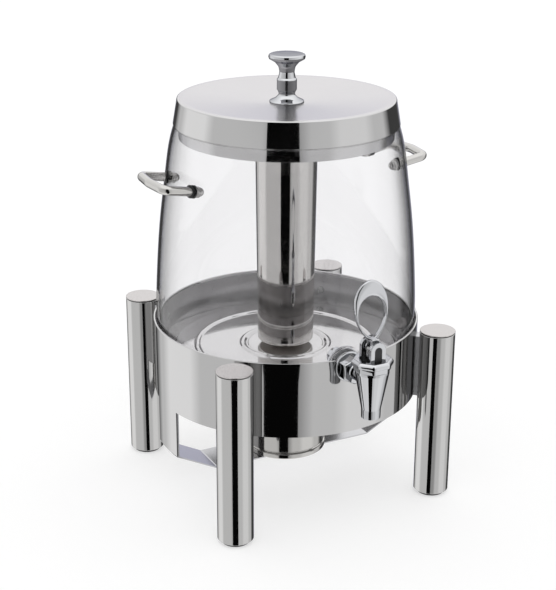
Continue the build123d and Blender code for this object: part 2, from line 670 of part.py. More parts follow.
# ---- assembly
def all_nodes():
    angles = POST_ANGLES.values()
    nodes = {
        "ring_band": ring_band(),
        "rest_ledge": rest_ledge(),
        "burner_bracket": burner_bracket(),
        "post_caps": [post_cap(a) for a in angles],
        "rubber_feet": [rubber_foot(a) for a in angles],
        "post_spacers": [post_spacer(a) for a in angles],
        "post_screws": [post_screw(a, z) for a in angles for z in SCREW_Z],
        "fuel_holder": fuel_holder(),
        "snuffer_cover": snuffer_cover(),
        "snuffer_pin": snuffer_pin(),
        "body_shell": body_shell(),
        "body_pan": body_pan(),
        "pan_gasket": pan_gasket(),
        "pan_clamp_ring": clamp_ring(),
        "pan_clamp_nuts": [clamp_nut(a) for a in stud_angles()],
        "left_handle": vessel_handle(-1),
        "right_handle": vessel_handle(1),
        "tube_carrier": tube_carrier(),
        "ice_tube": ice_tube(),
        "lid_shell": lid_shell(),
        "lid_knob": lid_knob(),
        "knob_screw": knob_screw(),
        "tap_body": tap_body(),
        "tap_outer_gasket": tap_gasket(PAD_Y - 2.0, PAD_Y, 13.6),
        "tap_inner_gasket": tap_gasket(PAD_IN, PAD_IN + 1.6, 16.0),
        "tap_lock_nut": tap_lock_nut(),
        "tap_bonnet": tap_bonnet(),
        "tap_bearing": tap_bearing(),
        "tap_pivot_pins": [tap_pivot_pin(side) for side in (-1, 1)],
        "tap_lever": tap_lever(),
        "tap_stem": tap_stem(),
        "tap_seat": tap_seat(),
        "tap_spring": tap_spring(),
    }
    for name in [name for name in nodes if name.startswith("tap_")]:
        shape = nodes[name]
        nodes[name] = [toward_tap(solid) for solid in shape] if isinstance(shape, list) else toward_tap(shape)
    for name, angle in POST_ANGLES.items():
        nodes["post_" + name] = post_tube(angle)
    legs = [leg for side in (-1, 1) for leg in handle_axes(side)]
    nodes["handle_outer_washers"] = [handle_washer(*leg, inside=False) for leg in legs]
    nodes["handle_inner_washers"] = [handle_washer(*leg, inside=True) for leg in legs]
    nodes["handle_nuts"] = [handle_nut(*leg) for leg in legs]
    return nodes


def write_parts(nodes):
    os.makedirs("parts", exist_ok=True)
    for name, shape in nodes.items():
        solids = shape if isinstance(shape, list) else [shape]
        moved = [Pos(0, AXIS_Y, 0) * solid for solid in solids]
        export_step(Compound(children=moved) if len(moved) > 1 else moved[0], f"parts/{name}.step")


write_parts(all_nodes())
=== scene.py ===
import json
import math

import bmesh
import bpy
from mathutils import Matrix, Vector


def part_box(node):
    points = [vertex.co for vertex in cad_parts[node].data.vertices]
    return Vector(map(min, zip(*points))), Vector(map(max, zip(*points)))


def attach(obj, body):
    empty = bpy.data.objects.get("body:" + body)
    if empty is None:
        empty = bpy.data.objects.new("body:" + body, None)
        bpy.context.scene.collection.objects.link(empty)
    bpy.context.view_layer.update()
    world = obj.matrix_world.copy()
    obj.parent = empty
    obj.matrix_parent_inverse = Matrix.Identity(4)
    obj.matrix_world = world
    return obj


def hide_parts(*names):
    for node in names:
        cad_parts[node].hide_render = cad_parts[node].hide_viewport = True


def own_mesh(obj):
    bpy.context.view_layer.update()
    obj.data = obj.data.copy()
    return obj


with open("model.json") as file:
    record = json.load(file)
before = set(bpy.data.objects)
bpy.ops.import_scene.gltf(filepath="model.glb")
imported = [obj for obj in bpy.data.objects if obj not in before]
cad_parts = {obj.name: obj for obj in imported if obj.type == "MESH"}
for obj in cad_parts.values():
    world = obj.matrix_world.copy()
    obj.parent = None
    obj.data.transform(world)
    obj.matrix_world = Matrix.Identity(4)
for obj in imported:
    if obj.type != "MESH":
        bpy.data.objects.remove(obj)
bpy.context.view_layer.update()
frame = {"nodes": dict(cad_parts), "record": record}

# Coffee urn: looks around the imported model. Shapes are drawn in millimetres about the urn's own axis
# (x to the right handle, -y to the tap, z up) and moved into the frame by piece().
MM = 0.001
AXIS_Y = sum(corner.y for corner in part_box("ice_tube")) / 2


def span(node):
    """Lowest and highest corner of a CAD node, in mm from the urn's axis."""
    return [(corner - Vector((0, AXIS_Y, 0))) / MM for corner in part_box(node)]


# ---------------------------------------------------------------- camera
CAMERA_AZIMUTH = -27.77
CAMERA_ELEVATION = 20.42
CAMERA_DISTANCE = 1556.1
CAMERA_YAW = 0.34
CAMERA_ROLL = 0.22
AIM_HEIGHT = 218.4
LENS = 83.74


def level_axes(azimuth, elevation):
    """Right, up and back axes of a level camera that looks at the urn."""
    a, e = math.radians(azimuth), math.radians(elevation)
    back = Vector((math.sin(a) * math.cos(e), -math.cos(a) * math.cos(e), math.sin(e)))
    right = Vector((math.cos(a), math.sin(a), 0))
    return right, back.cross(right), back


def add_camera():
    data = bpy.data.cameras.new("camera")
    data.lens = LENS
    data.clip_start, data.clip_end = 0.05, 50
    camera = bpy.data.objects.new("camera", data)
    bpy.context.scene.collection.objects.link(camera)
    outward = level_axes(CAMERA_AZIMUTH, CAMERA_ELEVATION)[2]
    right, up, back = level_axes(CAMERA_AZIMUTH + CAMERA_YAW, CAMERA_ELEVATION)
    roll = math.radians(CAMERA_ROLL)
    right, up = right * math.cos(roll) + up * math.sin(roll), up * math.cos(roll) - right * math.sin(roll)
    place = Vector((0, AXIS_Y, AIM_HEIGHT * MM)) + outward * CAMERA_DISTANCE * MM
    camera.matrix_world = Matrix.Translation(place) @ Matrix((right, up, back)).transposed().to_4x4()
    bpy.context.scene.camera = camera


# ---------------------------------------------------------------- nodes of materials
def shader_tree(owner):
    owner.use_nodes = True
    tree = owner.node_tree
    tree.nodes.clear()
    return tree


def node(tree, kind, inputs=None, **settings):
    """Add a node, set its properties, and link or set its inputs by name or number."""
    made = tree.nodes.new(kind)
    for name, value in settings.items():
        setattr(made, name, value)
    for name, value in (inputs or {}).items():
        if isinstance(value, bpy.types.NodeSocket):
            tree.links.new(value, made.inputs[name])
        else:
            made.inputs[name].default_value = value
    return made


def calc(tree, operation, *values):
    return node(tree, "ShaderNodeMath", dict(enumerate(values)), operation=operation).outputs[0]


def ramp(tree, factor, stops):
    """Colour ramp from (position, grey or colour) stops."""
    made = node(tree, "ShaderNodeValToRGB", {0: factor})
    elements = made.color_ramp.elements
    while len(elements) > 1:
        elements.remove(elements[-1])
    for index, (place, value) in enumerate(stops):
        element = elements[0] if index == 0 else elements.new(place)
        element.position = place
        colour = value if isinstance(value, tuple) else (value, value, value)
        element.color = (*colour, 1)
    return made.outputs[0]


def mix(tree, factor, a, b, blend="MIX"):
    made = node(tree, "ShaderNodeMix", data_type="RGBA", blend_type=blend)
    for socket, value in ((made.inputs[0], factor), (made.inputs[6], a), (made.inputs[7], b)):
        if isinstance(value, bpy.types.NodeSocket):
            tree.links.new(value, socket)
        else:
            socket.default_value = value
    return made.outputs[2]


# ---------------------------------------------------------------- studio
# The room that polished metal mirrors: an even grey with a few large lights and dark flags, each given as
# (middle in degrees from the camera, positive to its right, half width, brightness)
ROOM_TONE = 0.55
ROOM_EDGE = 12.0          # soft edge of each light and flag, in degrees
ROOM_LIGHTS = [
    (-156, 6, 0.05),      # dark flag behind on the left
    (-105, 15, 0.80),     # large softbox on the left
    (0, 12, 0.30),        # dim camera side
    (70, 15, 0.70),       # softbox on the right
    (140, 15, 0.05),      # dark flag behind on the right
]
FAR_PAPER = (0.5, 0.5, 0.6)       # pale lilac paper straight behind
UPPER_ROOM = [(-180, 0.9), (-90, 0.65), (0, 0.35), (90, 0.8), (180, 0.9)]
CEILING = 0.95
FLOOR_TONE = 0.80
# Upward shares of the direction between which one part of the room passes into the next
FLOOR_FADE, UPPER_FADE, CEILING_FADE = (-0.85, -0.55), (0.06, 0.20), (0.55, 0.85)
# What a second reflection keeps of the studio, by degrees from the camera, and the same behind the clear wall
SECOND_MIRROR = [(-180, 0.50), (-30, 0.50), (20, 0.26), (180, 0.26)]
SECOND_INSIDE = 0.70
# Backdrop that clear walls refract: white with a grey flag on each side, which gives them their dark rims,
# as (middle as the sideways share of the direction, half width, brightness)
BACKDROP_FLAGS = [(-0.28, 0.07, 0.50), (0.29, 0.05, 0.25)]
BACKDROP_EDGE = 0.10


def rig(tone, edge, lights):
    """Ramp stops of an even tone with soft-edged lights and flags in it."""
    stops = []
    for middle, half, brightness in lights:
        stops += [(middle - half - edge, tone), (middle - half, brightness),
                  (middle + half, brightness), (middle + half + edge, tone)]
    return stops


def degrees_ramp(tree, turn, stops):
    return ramp(tree, turn, [((angle + 180) / 360, value) for angle, value in stops])


def height_ramp(tree, height, stops):
    """Ramp over the upward share of a direction, from -1 to 1."""
    return ramp(tree, calc(tree, "ADD", calc(tree, "MULTIPLY", height, 0.5), 0.5),
                [(place * 0.5 + 0.5, value) for place, value in stops])


def light_studio():
    """World: white behind the object, a pale backdrop through clear walls, and a soft studio in metal."""
    world = bpy.data.worlds.new("studio")
    bpy.context.scene.world = world
    tree = shader_tree(world)
    direction = node(tree, "ShaderNodeTexCoord").outputs["Generated"]
    turned = node(tree, "ShaderNodeVectorRotate",
                  {"Vector": direction, "Angle": math.radians(-CAMERA_AZIMUTH)},
                  rotation_type="Z_AXIS").outputs[0]
    parts = node(tree, "ShaderNodeSeparateXYZ", {0: turned}).outputs
    angle = calc(tree, "ARCTAN2", parts[0], calc(tree, "MULTIPLY", parts[1], -1.0))
    turn = calc(tree, "ADD", calc(tree, "DIVIDE", angle, 2 * math.pi), 0.5)
    path = node(tree, "ShaderNodeLightPath").outputs
    behind = calc(tree, "GREATER_THAN", path["Transmission Depth"], 0.5)
    lights = rig(ROOM_TONE, ROOM_EDGE, ROOM_LIGHTS)[1:-1]
    far_left, far_right = [(-180, FAR_PAPER), (-174, FAR_PAPER)], [(174, FAR_PAPER), (180, FAR_PAPER)]
    level = degrees_ramp(tree, turn, far_left + lights + far_right)
    upper = degrees_ramp(tree, turn, UPPER_ROOM)
    studio = mix(tree, height_ramp(tree, parts[2], zip(UPPER_FADE, (0.0, 1.0))), level, upper)
    white = (CEILING, CEILING, CEILING, 1)
    studio = mix(tree, height_ramp(tree, parts[2], zip(CEILING_FADE, (0.0, 1.0))), studio, white)
    floor_tone = (FLOOR_TONE, FLOOR_TONE, FLOOR_TONE, 1)
    studio = mix(tree, height_ramp(tree, parts[2], zip(FLOOR_FADE, (1.0, 0.0))), studio, floor_tone)
    flags = rig(1.0, BACKDROP_EDGE, BACKDROP_FLAGS)
    backdrop = ramp(tree, calc(tree, "ADD", parts[0], 0.5), [(side + 0.5, tone) for side, tone in flags])
    mirrored = calc(tree, "GREATER_THAN", path["Glossy Depth"], 0.5)
    twice = calc(tree, "GREATER_THAN", path["Glossy Depth"], 1.5)
    diffuse = calc(tree, "GREATER_THAN", path["Diffuse Depth"], 0.5)
    inside = (SECOND_INSIDE, SECOND_INSIDE, SECOND_INSIDE, 1)
    dimming = mix(tree, behind, degrees_ramp(tree, turn, SECOND_MIRROR), inside)
    dimmed = mix(tree, 1.0, studio, dimming, "MULTIPLY")
    studio = mix(tree, twice, studio, dimmed)
    seen = mix(tree, path["Is Camera Ray"], backdrop, (1, 1, 1, 1))
    seen = mix(tree, mirrored, seen, studio)
    seen = mix(tree, diffuse, seen, (1, 1, 1, 1))
    shine = node(tree, "ShaderNodeBackground", {"Color": seen, "Strength": 1.0})
    node(tree, "ShaderNodeOutputWorld", {"Surface": shine.outputs[0]})


CARD_DISTANCE = 620.0     # dark camera hood that the polished walls mirror, from the urn's axis
CARD_SHIFT = -35.0
CARD_TONE = 0.002
# (height, half width) of the hood from its foot to its top
CARD_HALF = [(-900, 142), (-40, 142), (20, 171), (70, 188), (230, 190), (300, 160), (900, 160)]


def add_card():
    """Dark upright card in front of the camera, seen only in reflections."""
    right, up, back = level_axes(CAMERA_AZIMUTH, 0)
    bm = bmesh.new()
    rows = []
    for height, half in CARD_HALF:
        middle = back * CARD_DISTANCE + right * CARD_SHIFT + Vector((0, 0, height))
        rows.append([bm.verts.new(middle - right * half), bm.verts.new(middle + right * half)])
    for low, high in zip(rows, rows[1:]):
        bm.faces.new((low[0], low[1], high[1], high[0]))
    mirrored_only(to_object("camera_hood", bm), CARD_TONE)


def mirrored_only(thing, tone):
    """Stage an evenly dark object that only reflections show."""
    material = bpy.data.materials.new(thing.name + "_tone")
    tree = shader_tree(material)
    shade = node(tree, "ShaderNodeEmission", {"Color": (tone, tone, tone, 1), "Strength": 1.0})
    clear = node(tree, "ShaderNodeBsdfTransparent")
    mirrored = calc(tree, "GREATER_THAN", node(tree, "ShaderNodeLightPath").outputs["Glossy Depth"], 0.5)
    either = node(tree, "ShaderNodeMixShader", {0: mirrored, 1: clear.outputs[0], 2: shade.outputs[0]})
    node(tree, "ShaderNodeOutputMaterial", {"Surface": either.outputs[0]})
    thing.data.materials.append(material)
    thing.visible_diffuse = False
    thing.visible_shadow = False
    thing.visible_volume_scatter = False


FLOOR_HALF = 6000.0
FLOOR_GLOW = 0.54         # brings the lit floor up to white where no shadow falls


def add_floor():
    """White floor that keeps the object's shadow; metal and clear walls show the studio instead of it."""
    bm = bmesh.new()
    bmesh.ops.create_grid(bm, x_segments=1, y_segments=1, size=FLOOR_HALF)
    floor = to_object("floor", bm)
    material = bpy.data.materials.new("floor_white")
    tree = shader_tree(material)
    plain = node(tree, "ShaderNodeBsdfDiffuse", {"Color": (0.92, 0.92, 0.92, 1)})
    base = node(tree, "ShaderNodeBsdfDiffuse", {"Color": (0.50, 0.50, 0.50, 1)})
    glow = node(tree, "ShaderNodeEmission", {"Color": (1, 1, 1, 1), "Strength": FLOOR_GLOW})
    both = node(tree, "ShaderNodeAddShader", {0: base.outputs[0], 1: glow.outputs[0]})
    path = node(tree, "ShaderNodeLightPath").outputs
    seen = node(tree, "ShaderNodeMixShader",
                {0: path["Is Camera Ray"], 1: plain.outputs[0], 2: both.outputs[0]})
    clear = node(tree, "ShaderNodeBsdfTransparent")
    through = node(tree, "ShaderNodeMixShader",
                   {0: path["Is Transmission Ray"], 1: seen.outputs[0], 2: clear.outputs[0]})
    node(tree, "ShaderNodeOutputMaterial", {"Surface": through.outputs[0]})
    floor.data.materials.append(material)
    floor.visible_glossy = False


# ---------------------------------------------------------------- meshes
def to_object(name, bm):
    """Turn a bmesh in mm about the urn's axis into an object of the frame."""
    bmesh.ops.transform(bm, matrix=Matrix.Translation((0, AXIS_Y, 0)) @ Matrix.Scale(MM, 4),
                        verts=bm.verts[:])
    mesh = bpy.data.meshes.new(name)
    bm.to_mesh(mesh)
    bm.free()
    made = bpy.data.objects.new(name, mesh)
    bpy.context.scene.collection.objects.link(made)
    return made


SHARP = math.radians(38)
SAME_PLACE = 1e-4         # points nearer than this are one
ON_AXIS = 1e-6            # points nearer than this to an axis lie on it


def piece(name, bm, body, replaced, slot, *materials):
    """Finish a mesh: clean normals, smooth shading with sharp edges, materials, body and CAD nodes."""
    bmesh.ops.remove_doubles(bm, verts=bm.verts[:], dist=SAME_PLACE)
    bmesh.ops.recalc_face_normals(bm, faces=bm.faces[:])
    for face in bm.faces:
        face.smooth = True
    for edge in bm.edges:
        edge.smooth = len(edge.link_faces) == 2 and edge.calc_face_angle(0) < SHARP
    made = to_object(name, bm)
    for material in materials:
        made.data.materials.append(material)
    weighted = made.modifiers.new("even_normals", "WEIGHTED_NORMAL")
    weighted.keep_sharp = True
    weighted.weight = 80
    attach(made, body)
    if replaced:
        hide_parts(*replaced)
    return made


def rounded(corners, steps=5):
    """Points of an outline from (across, up) or (across, up, radius) corners, with round corners as arcs."""
    points = []
    count = len(corners)
    for index, corner in enumerate(corners):
        here = Vector(corner[:2])
        radius = corner[2] if len(corner) > 2 else 0
        if not radius:
            points.append(here)
            continue
        before = Vector(corners[index - 1][:2]) - here
        after = Vector(corners[(index + 1) % count][:2]) - here
        half = before.angle(after) / 2
        reach = radius / math.tan(half)
        reach = min(reach, before.length * 0.49, after.length * 0.49)
        start, end = here + before.normalized() * reach, here + after.normalized() * reach
        middle = here + (before.normalized() + after.normalized()).normalized() * reach / math.cos(half)
        first, last = start - middle, end - middle
        turn = first.angle_signed(last)
        for step in range(steps + 1):
            angle = -turn * step / steps
            swung = Vector((first.x * math.cos(angle) - first.y * math.sin(angle),
                            first.x * math.sin(angle) + first.y * math.cos(angle)))
            points.append(middle + swung)
    return points


def turn_profile(bm, points, segments=192, centre=(0, 0)):
    """Add the solid of revolution of closed (radius, height) points about an upright axis."""
    angles = [2 * math.pi * k / segments for k in range(segments)]
    rings = [[bm.verts.new((centre[0] + r * math.cos(a), centre[1] + r * math.sin(a), z)) for r, z in points]
             for a in angles]
    count = len(points)
    made = []
    for k in range(segments):
        here, there = rings[k], rings[(k + 1) % segments]
        for i in range(count):
            j = (i + 1) % count
            if points[i][0] > ON_AXIS or points[j][0] > ON_AXIS:
                made.append(bm.faces.new((here[i], there[i], there[j], here[j])))
    return made


def laid_along(bm, verts, origin, direction, side=None):
    """Turn verts drawn about +Z so that +Z becomes the direction, and move them to the origin."""
    axis = Vector(direction).normalized()
    rotation = Vector((0, 0, 1)).rotation_difference(axis).to_matrix().to_4x4()
    if side is not None:
        x_axis = Vector(side).normalized()
        rotation = Matrix((x_axis, axis.cross(x_axis), axis)).transposed().to_4x4()
    bmesh.ops.transform(bm, matrix=Matrix.Translation(origin) @ rotation, verts=verts)


def added(bm, build):
    """Verts that build() adds to the mesh."""
    before = set(bm.verts)
    build()
    return [v for v in bm.verts if v not in before]


def turned_piece(name, body, replaced, slot, corners, *materials, segments=192, centres=((0, 0),), steps=5):
    """Piece of one or more equal turned solids."""
    bm = bmesh.new()
    for centre in centres:
        turn_profile(bm, rounded(corners, steps), segments, centre)
    return piece(name, bm, body, replaced, slot, *materials)


def polygon_loop(sides, corner_steps, softness):
    """Angles and radii, as shares of the flats' distance, of a regular polygon with soft corners."""
    loop = []
    half = math.pi / sides
    for side in range(sides):
        for step in range(-corner_steps, corner_steps):
            share = step / corner_steps
            angle = 2 * half * side + half * share
            flat = 1 / math.cos(half * share)
            limit = 1 / math.cos(half) * (1 - softness)
            loop.append((angle, min(flat, limit)))
    return loop


def turn_polygon(bm, points, sides, softness=0.012, turn=0.0):
    """Add a polygonal solid from (distance of the flats, height, roundness) points; roundness 1 is round."""
    loop = polygon_loop(sides, 6, softness)
    rings = []
    for angle, share in loop:
        column = []
        for distance, height, *roundness in points:
            blend = roundness[0] if roundness else 0.0
            radius = distance * (share * (1 - blend) + blend)
            column.append(bm.verts.new((radius * math.cos(angle + turn), radius * math.sin(angle + turn),
                                        height)))
        rings.append(column)
    count = len(points)
    for k, here in enumerate(rings):
        there = rings[(k + 1) % len(rings)]
        for i in range(count):
            j = (i + 1) % count
            if points[i][0] > ON_AXIS or points[j][0] > ON_AXIS:
                bm.faces.new((here[i], there[i], there[j], here[j]))


def swept(bm, stations, closed=False):
    """Add a skin over rings of points, one ring per station."""
    rings = [[bm.verts.new(p) for p in ring] for ring in stations]
    count = len(rings[0])
    for k in range(len(rings) if closed else len(rings) - 1):
        here, there = rings[k], rings[(k + 1) % len(rings)]
        for i in range(count):
            j = (i + 1) % count
            bm.faces.new((here[i], here[j], there[j], there[i]))
    if not closed:
        bm.faces.new(rings[0])
        bm.faces.new(list(reversed(rings[-1])))


def carved(first, second, operation):
    """Join or cut one closed mesh by another and return the outcome."""
    things = []
    for bm in (first, second):
        mesh = bpy.data.meshes.new("carving")
        bm.to_mesh(mesh)
        bm.free()
        thing = bpy.data.objects.new("carving", mesh)
        bpy.context.scene.collection.objects.link(thing)
        things.append(thing)
    carve = things[0].modifiers.new("carve", "BOOLEAN")
    carve.operation, carve.object = operation, things[1]
    bpy.context.view_layer.update()
    outcome = bmesh.new()
    outcome.from_object(things[0], bpy.context.evaluated_depsgraph_get())
    for thing in things:
        mesh = thing.data
        bpy.data.objects.remove(thing)
        bpy.data.meshes.remove(mesh)
    return outcome


def second_slopes(places, values):
    """Second derivatives of the natural cubic spline through the values."""
    count = len(places)
    share, rest = [0.0] * count, [0.0] * count
    for i in range(1, count - 1):
        before, after = places[i] - places[i - 1], places[i + 1] - places[i]
        rise = 6 * ((values[i + 1] - values[i]) / after - (values[i] - values[i - 1]) / before)
        scale = 2 * (before + after) - before * share[i - 1]
        share[i] = after / scale
        rest[i] = (rise - before * rest[i - 1]) / scale
    bends = [0.0] * count
    for i in range(count - 2, 0, -1):
        bends[i] = rest[i] - share[i] * bends[i + 1]
    return bends


def smooth_line(points, steps, closed=False):
    """Points of a smooth curve through (across, up) points, with a number of steps between each two."""
    line = points[-4:] + points + points[:5] if closed else points
    places = [0.0]
    for a, b in zip(line, line[1:]):
        places.append(places[-1] + math.dist(a, b))
    bends = [second_slopes(places, [p[axis] for p in line]) for axis in (0, 1)]
    first, last = (4, 4 + len(points)) if closed else (0, len(line) - 1)
    made = []
    for i in range(first, last):
        width = places[i + 1] - places[i]
        for step in range(steps):
            b = step / steps
            a = 1 - b
            made.append(tuple(
                a * line[i][axis] + b * line[i + 1][axis]
                + ((a ** 3 - a) * bends[axis][i] + (b ** 3 - b) * bends[axis][i + 1]) * width ** 2 / 6
                for axis in (0, 1)))
    if not closed:
        made.append(tuple(line[-1]))
    return made


def lathe(bm, corners, segments=96, origin=None, direction=(0, 0, 1), steps=5):
    """Add a turned solid about an axis from an origin; corners are (radius, distance along it)."""
    verts = added(bm, lambda: turn_profile(bm, rounded(corners, steps), segments))
    if origin is not None:
        laid_along(bm, verts, origin, direction)
    return verts


def prism(bm, corners, low, high, edge=0.0, steps=4):
    """Add an upright solid with a rounded outline, given counterclockwise, and rounded rims."""
    outline = rounded(corners, 6)
    count = len(outline)
    inward = []
    for index in range(count):
        way = (outline[(index + 1) % count] - outline[index - 1]).normalized()
        inward.append(Vector((-way.y, way.x)))
    turns = [math.pi / 2 * step / steps for step in range(steps + 1)]
    levels = [(edge * (1 - math.sin(t)), low + edge * (1 - math.cos(t))) for t in turns]
    levels += [(edge * (1 - math.cos(t)), high - edge * (1 - math.sin(t))) for t in turns]
    rows = []
    for inset, height in levels:
        places = [point + way * inset for point, way in zip(outline, inward)]
        rows.append([bm.verts.new((place.x, place.y, height)) for place in places])
    for here, there in zip(rows, rows[1:]):
        for i in range(count):
            j = (i + 1) % count
            bm.faces.new((here[i], here[j], there[j], there[i]))
    bm.faces.new(list(reversed(rows[0])))
    bm.faces.new(rows[-1])


def placed_prism(bm, corners, low, high, edge, origin, right, up):
    """Prism whose outline lies in the plane of two directions, standing out of it along right x up."""
    verts = added(bm, lambda: prism(bm, corners, low, high, edge))
    right, up = Vector(right).normalized(), Vector(up).normalized()
    rotation = Matrix((right, up, right.cross(up))).transposed().to_4x4()
    bmesh.ops.transform(bm, matrix=Matrix.Translation(origin) @ rotation, verts=verts)


# ---------------------------------------------------------------- materials
def principled(name, colour, metallic=0.0, roughness=0.5, **inputs):
    material = bpy.data.materials.new(name)
    tree = shader_tree(material)
    shader = node(tree, "ShaderNodeBsdfPrincipled",
                  {"Base Color": (*colour, 1), "Metallic": metallic, "Roughness": roughness, **inputs})
    node(tree, "ShaderNodeOutputMaterial", {"Surface": shader.outputs[0]})
    return material, tree, shader


def object_place(tree):
    return node(tree, "ShaderNodeTexCoord").outputs["Object"]


def stretched(tree, scale):
    return node(tree, "ShaderNodeMapping", {"Vector": object_place(tree), "Scale": scale}).outputs[0]


def noise(tree, place, scale, detail=2.0, roughness=0.5):
    return node(tree, "ShaderNodeTexNoise",
                {"Vector": place, "Scale": scale, "Detail": detail, "Roughness": roughness}).outputs["Fac"]


def add_bump(tree, shader, height, distance, strength=1.0):
    bump = node(tree, "ShaderNodeBump", {"Height": height, "Distance": distance, "Strength": strength})
    tree.links.new(bump.outputs[0], shader.inputs["Normal"])


def vary(tree, shader, socket, factor, low, high):
    """Drive a number of the shader between two values by a texture."""
    spread = node(tree, "ShaderNodeMapRange", {"Value": factor, "From Min": 0.3, "From Max": 0.7,
                                               "To Min": low, "To Max": high}).outputs[0]
    tree.links.new(spread, shader.inputs[socket])


def polished_metal(name, colour, shade, rough, waviness=0.00004, grain=(1, 1, 1)):
    """Polished metal: faint colour drift, smears that change the gloss, and slight waves in the sheet."""
    material, tree, shader = principled(name, colour, 1.0, rough[0])
    smear = noise(tree, stretched(tree, grain), 30.0, 4.0, 0.6)
    vary(tree, shader, "Roughness", smear, *rough)
    drift = noise(tree, object_place(tree), 9.0, 2.0)
    tree.links.new(mix(tree, drift, (*colour, 1), (*shade, 1)), shader.inputs["Base Color"])
    add_bump(tree, shader, noise(tree, stretched(tree, grain), 14.0, 1.0), waviness)
    return material


def satin_metal(name, colour, shade, rough, grain, scale=900.0):
    """Satin metal: fine drawn lines along one way over a soft sheen."""
    material, tree, shader = principled(name, colour, 1.0, rough[0])
    lines = noise(tree, stretched(tree, grain), scale, 3.0, 0.7)
    vary(tree, shader, "Roughness", lines, *rough)
    tree.links.new(mix(tree, lines, (*colour, 1), (*shade, 1)), shader.inputs["Base Color"])
    add_bump(tree, shader, lines, 0.00002, 0.35)
    return material


def clear_plastic(name, colour):
    material, tree, shader = principled(name, colour, 0.0, 0.0, **{"Transmission Weight": 1.0, "IOR": 1.5})
    add_bump(tree, shader, noise(tree, object_place(tree), 12.0, 1.0), 0.00006)
    return material


def rubber(name, colour, rough=(0.45, 0.62)):
    material, tree, shader = principled(name, colour, 0.0, rough[0])
    dust = noise(tree, object_place(tree), 260.0, 5.0, 0.7)
    vary(tree, shader, "Roughness", dust, *rough)
    pale = tuple(min(1.0, c * 1.7 + 0.004) for c in colour)
    tree.links.new(mix(tree, dust, (*colour, 1), (*pale, 1)), shader.inputs["Base Color"])
    add_bump(tree, shader, dust, 0.00005, 0.4)
    return material


MIRROR = polished_metal("mirror_steel", (0.80, 0.795, 0.79), (0.83, 0.825, 0.83), (0.03, 0.07))
TUBE_STEEL = polished_metal("tube_steel", (0.82, 0.80, 0.775), (0.84, 0.825, 0.81), (0.03, 0.06),
                            grain=(6, 6, 1))
POST_STEEL = polished_metal("post_steel", (0.78, 0.775, 0.765), (0.82, 0.815, 0.81), (0.04, 0.10),
                            grain=(8, 8, 1))
PAN_STEEL = polished_metal("pan_steel", (0.82, 0.81, 0.81), (0.85, 0.845, 0.85), (0.05, 0.12))
CHROME = polished_metal("bright_chrome", (0.82, 0.83, 0.86), (0.86, 0.87, 0.89), (0.015, 0.04), 0.00001)
CHROME_TINT = (0.45, 0.45, 0.48, 1)
CHROME.node_tree.nodes["Principled BSDF"].inputs["Specular Tint"].default_value = CHROME_TINT
ROD_STEEL = polished_metal("rod_steel", (0.76, 0.745, 0.72), (0.80, 0.79, 0.77), (0.08, 0.15))
HOLDER_STEEL = polished_metal("holder_steel", (0.76, 0.745, 0.72), (0.80, 0.79, 0.77), (0.05, 0.10),
                              grain=(1, 1, 9))
LID_TOP = polished_metal("lid_top_satin", (0.80, 0.78, 0.795), (0.83, 0.81, 0.825), (0.20, 0.24), 0.00001)
CAP_SATIN = satin_metal("cap_satin", (0.74, 0.71, 0.70), (0.80, 0.77, 0.76), (0.20, 0.34), (1, 8, 1), 400.0)
SHEET_SATIN = satin_metal("sheet_satin", (0.74, 0.74, 0.76), (0.79, 0.79, 0.81), (0.14, 0.24), (1, 10, 1),
                          300.0)
PLAIN_STEEL = satin_metal("plain_steel", (0.62, 0.62, 0.62), (0.70, 0.70, 0.70), (0.20, 0.36), (1, 1, 1),
                          700.0)
CLEAR = clear_plastic("clear_shell", (0.985, 0.983, 0.99))
BLACK_RUBBER = rubber("black_rubber", (0.012, 0.012, 0.013))
GREY_SILICONE = rubber("grey_silicone", (0.42, 0.42, 0.43), (0.35, 0.5))
LEDGE_STEEL = polished_metal("ledge_steel", (0.74, 0.735, 0.73), (0.78, 0.775, 0.775), (0.10, 0.16))
RING_INSIDE = satin_metal("ring_inside", (0.80, 0.79, 0.80), (0.86, 0.85, 0.86), (0.26, 0.34), (1, 1, 12),
                          300.0)
RING_INSIDE.node_tree.nodes["Principled BSDF"].inputs["Metallic"].default_value = 0.72
BLACK_NYLON = rubber("black_nylon", (0.014, 0.014, 0.015), (0.28, 0.40))
WASHER_RUBBER = rubber("washer_rubber", (0.010, 0.010, 0.011), (0.30, 0.45))
# Painted light: a pale warm non-metal colour on the tube's steel bottom stands in for the light that the bottom
# shows, mirrored in the pan.
TUBE_END_PAINTED_LIGHT = satin_metal("tube_end", (0.90, 0.85, 0.80), (0.96, 0.91, 0.86), (0.5, 0.6), (1, 1, 1), 300.0)
TUBE_END_PAINTED_LIGHT.node_tree.nodes["Principled BSDF"].inputs["Metallic"].default_value = 0.0
# Near-black steel that is painted shade: it darkens the groove under each cap and the side edges of the tabs.
PAINTED_SHADE_EDGE = satin_metal("cut_edge", (0.10, 0.10, 0.105), (0.16, 0.16, 0.165), (0.35, 0.50), (1, 1, 6), 500.0)
NUT_STEEL = polished_metal("nut_steel", (0.70, 0.69, 0.68), (0.74, 0.73, 0.72), (0.06, 0.12))

# ---------------------------------------------------------------- sizes of the solids, in mm
RING_R, RING_IN, RING_LOW, RING_TOP = 150.0, 148.5, 113.0, 197.8
HEM_IN, HEM_LOW = 147.6, 194.8
TAB_LOW, TAB_HALF = 59.4, 24.0
NOTCH_HALF, TAP_Z = 15.0, 190.0
TAP_TURN = math.radians(-1.5)   # the tap and its notch stand this far off the -y direction
LEG_TOP = 127.0
FLAT_HALF, FLAT_Z, SHEET = 98.5, 32.8, 1.5
POST_CENTRE = 175.8
POST_PLACES = {"front_left": 225, "front_right": 315, "back_left": 135, "back_right": 45}
LEDGE_Z = 153.0


def post_centre(angle):
    return POST_CENTRE * math.cos(math.radians(angle)), POST_CENTRE * math.sin(math.radians(angle))


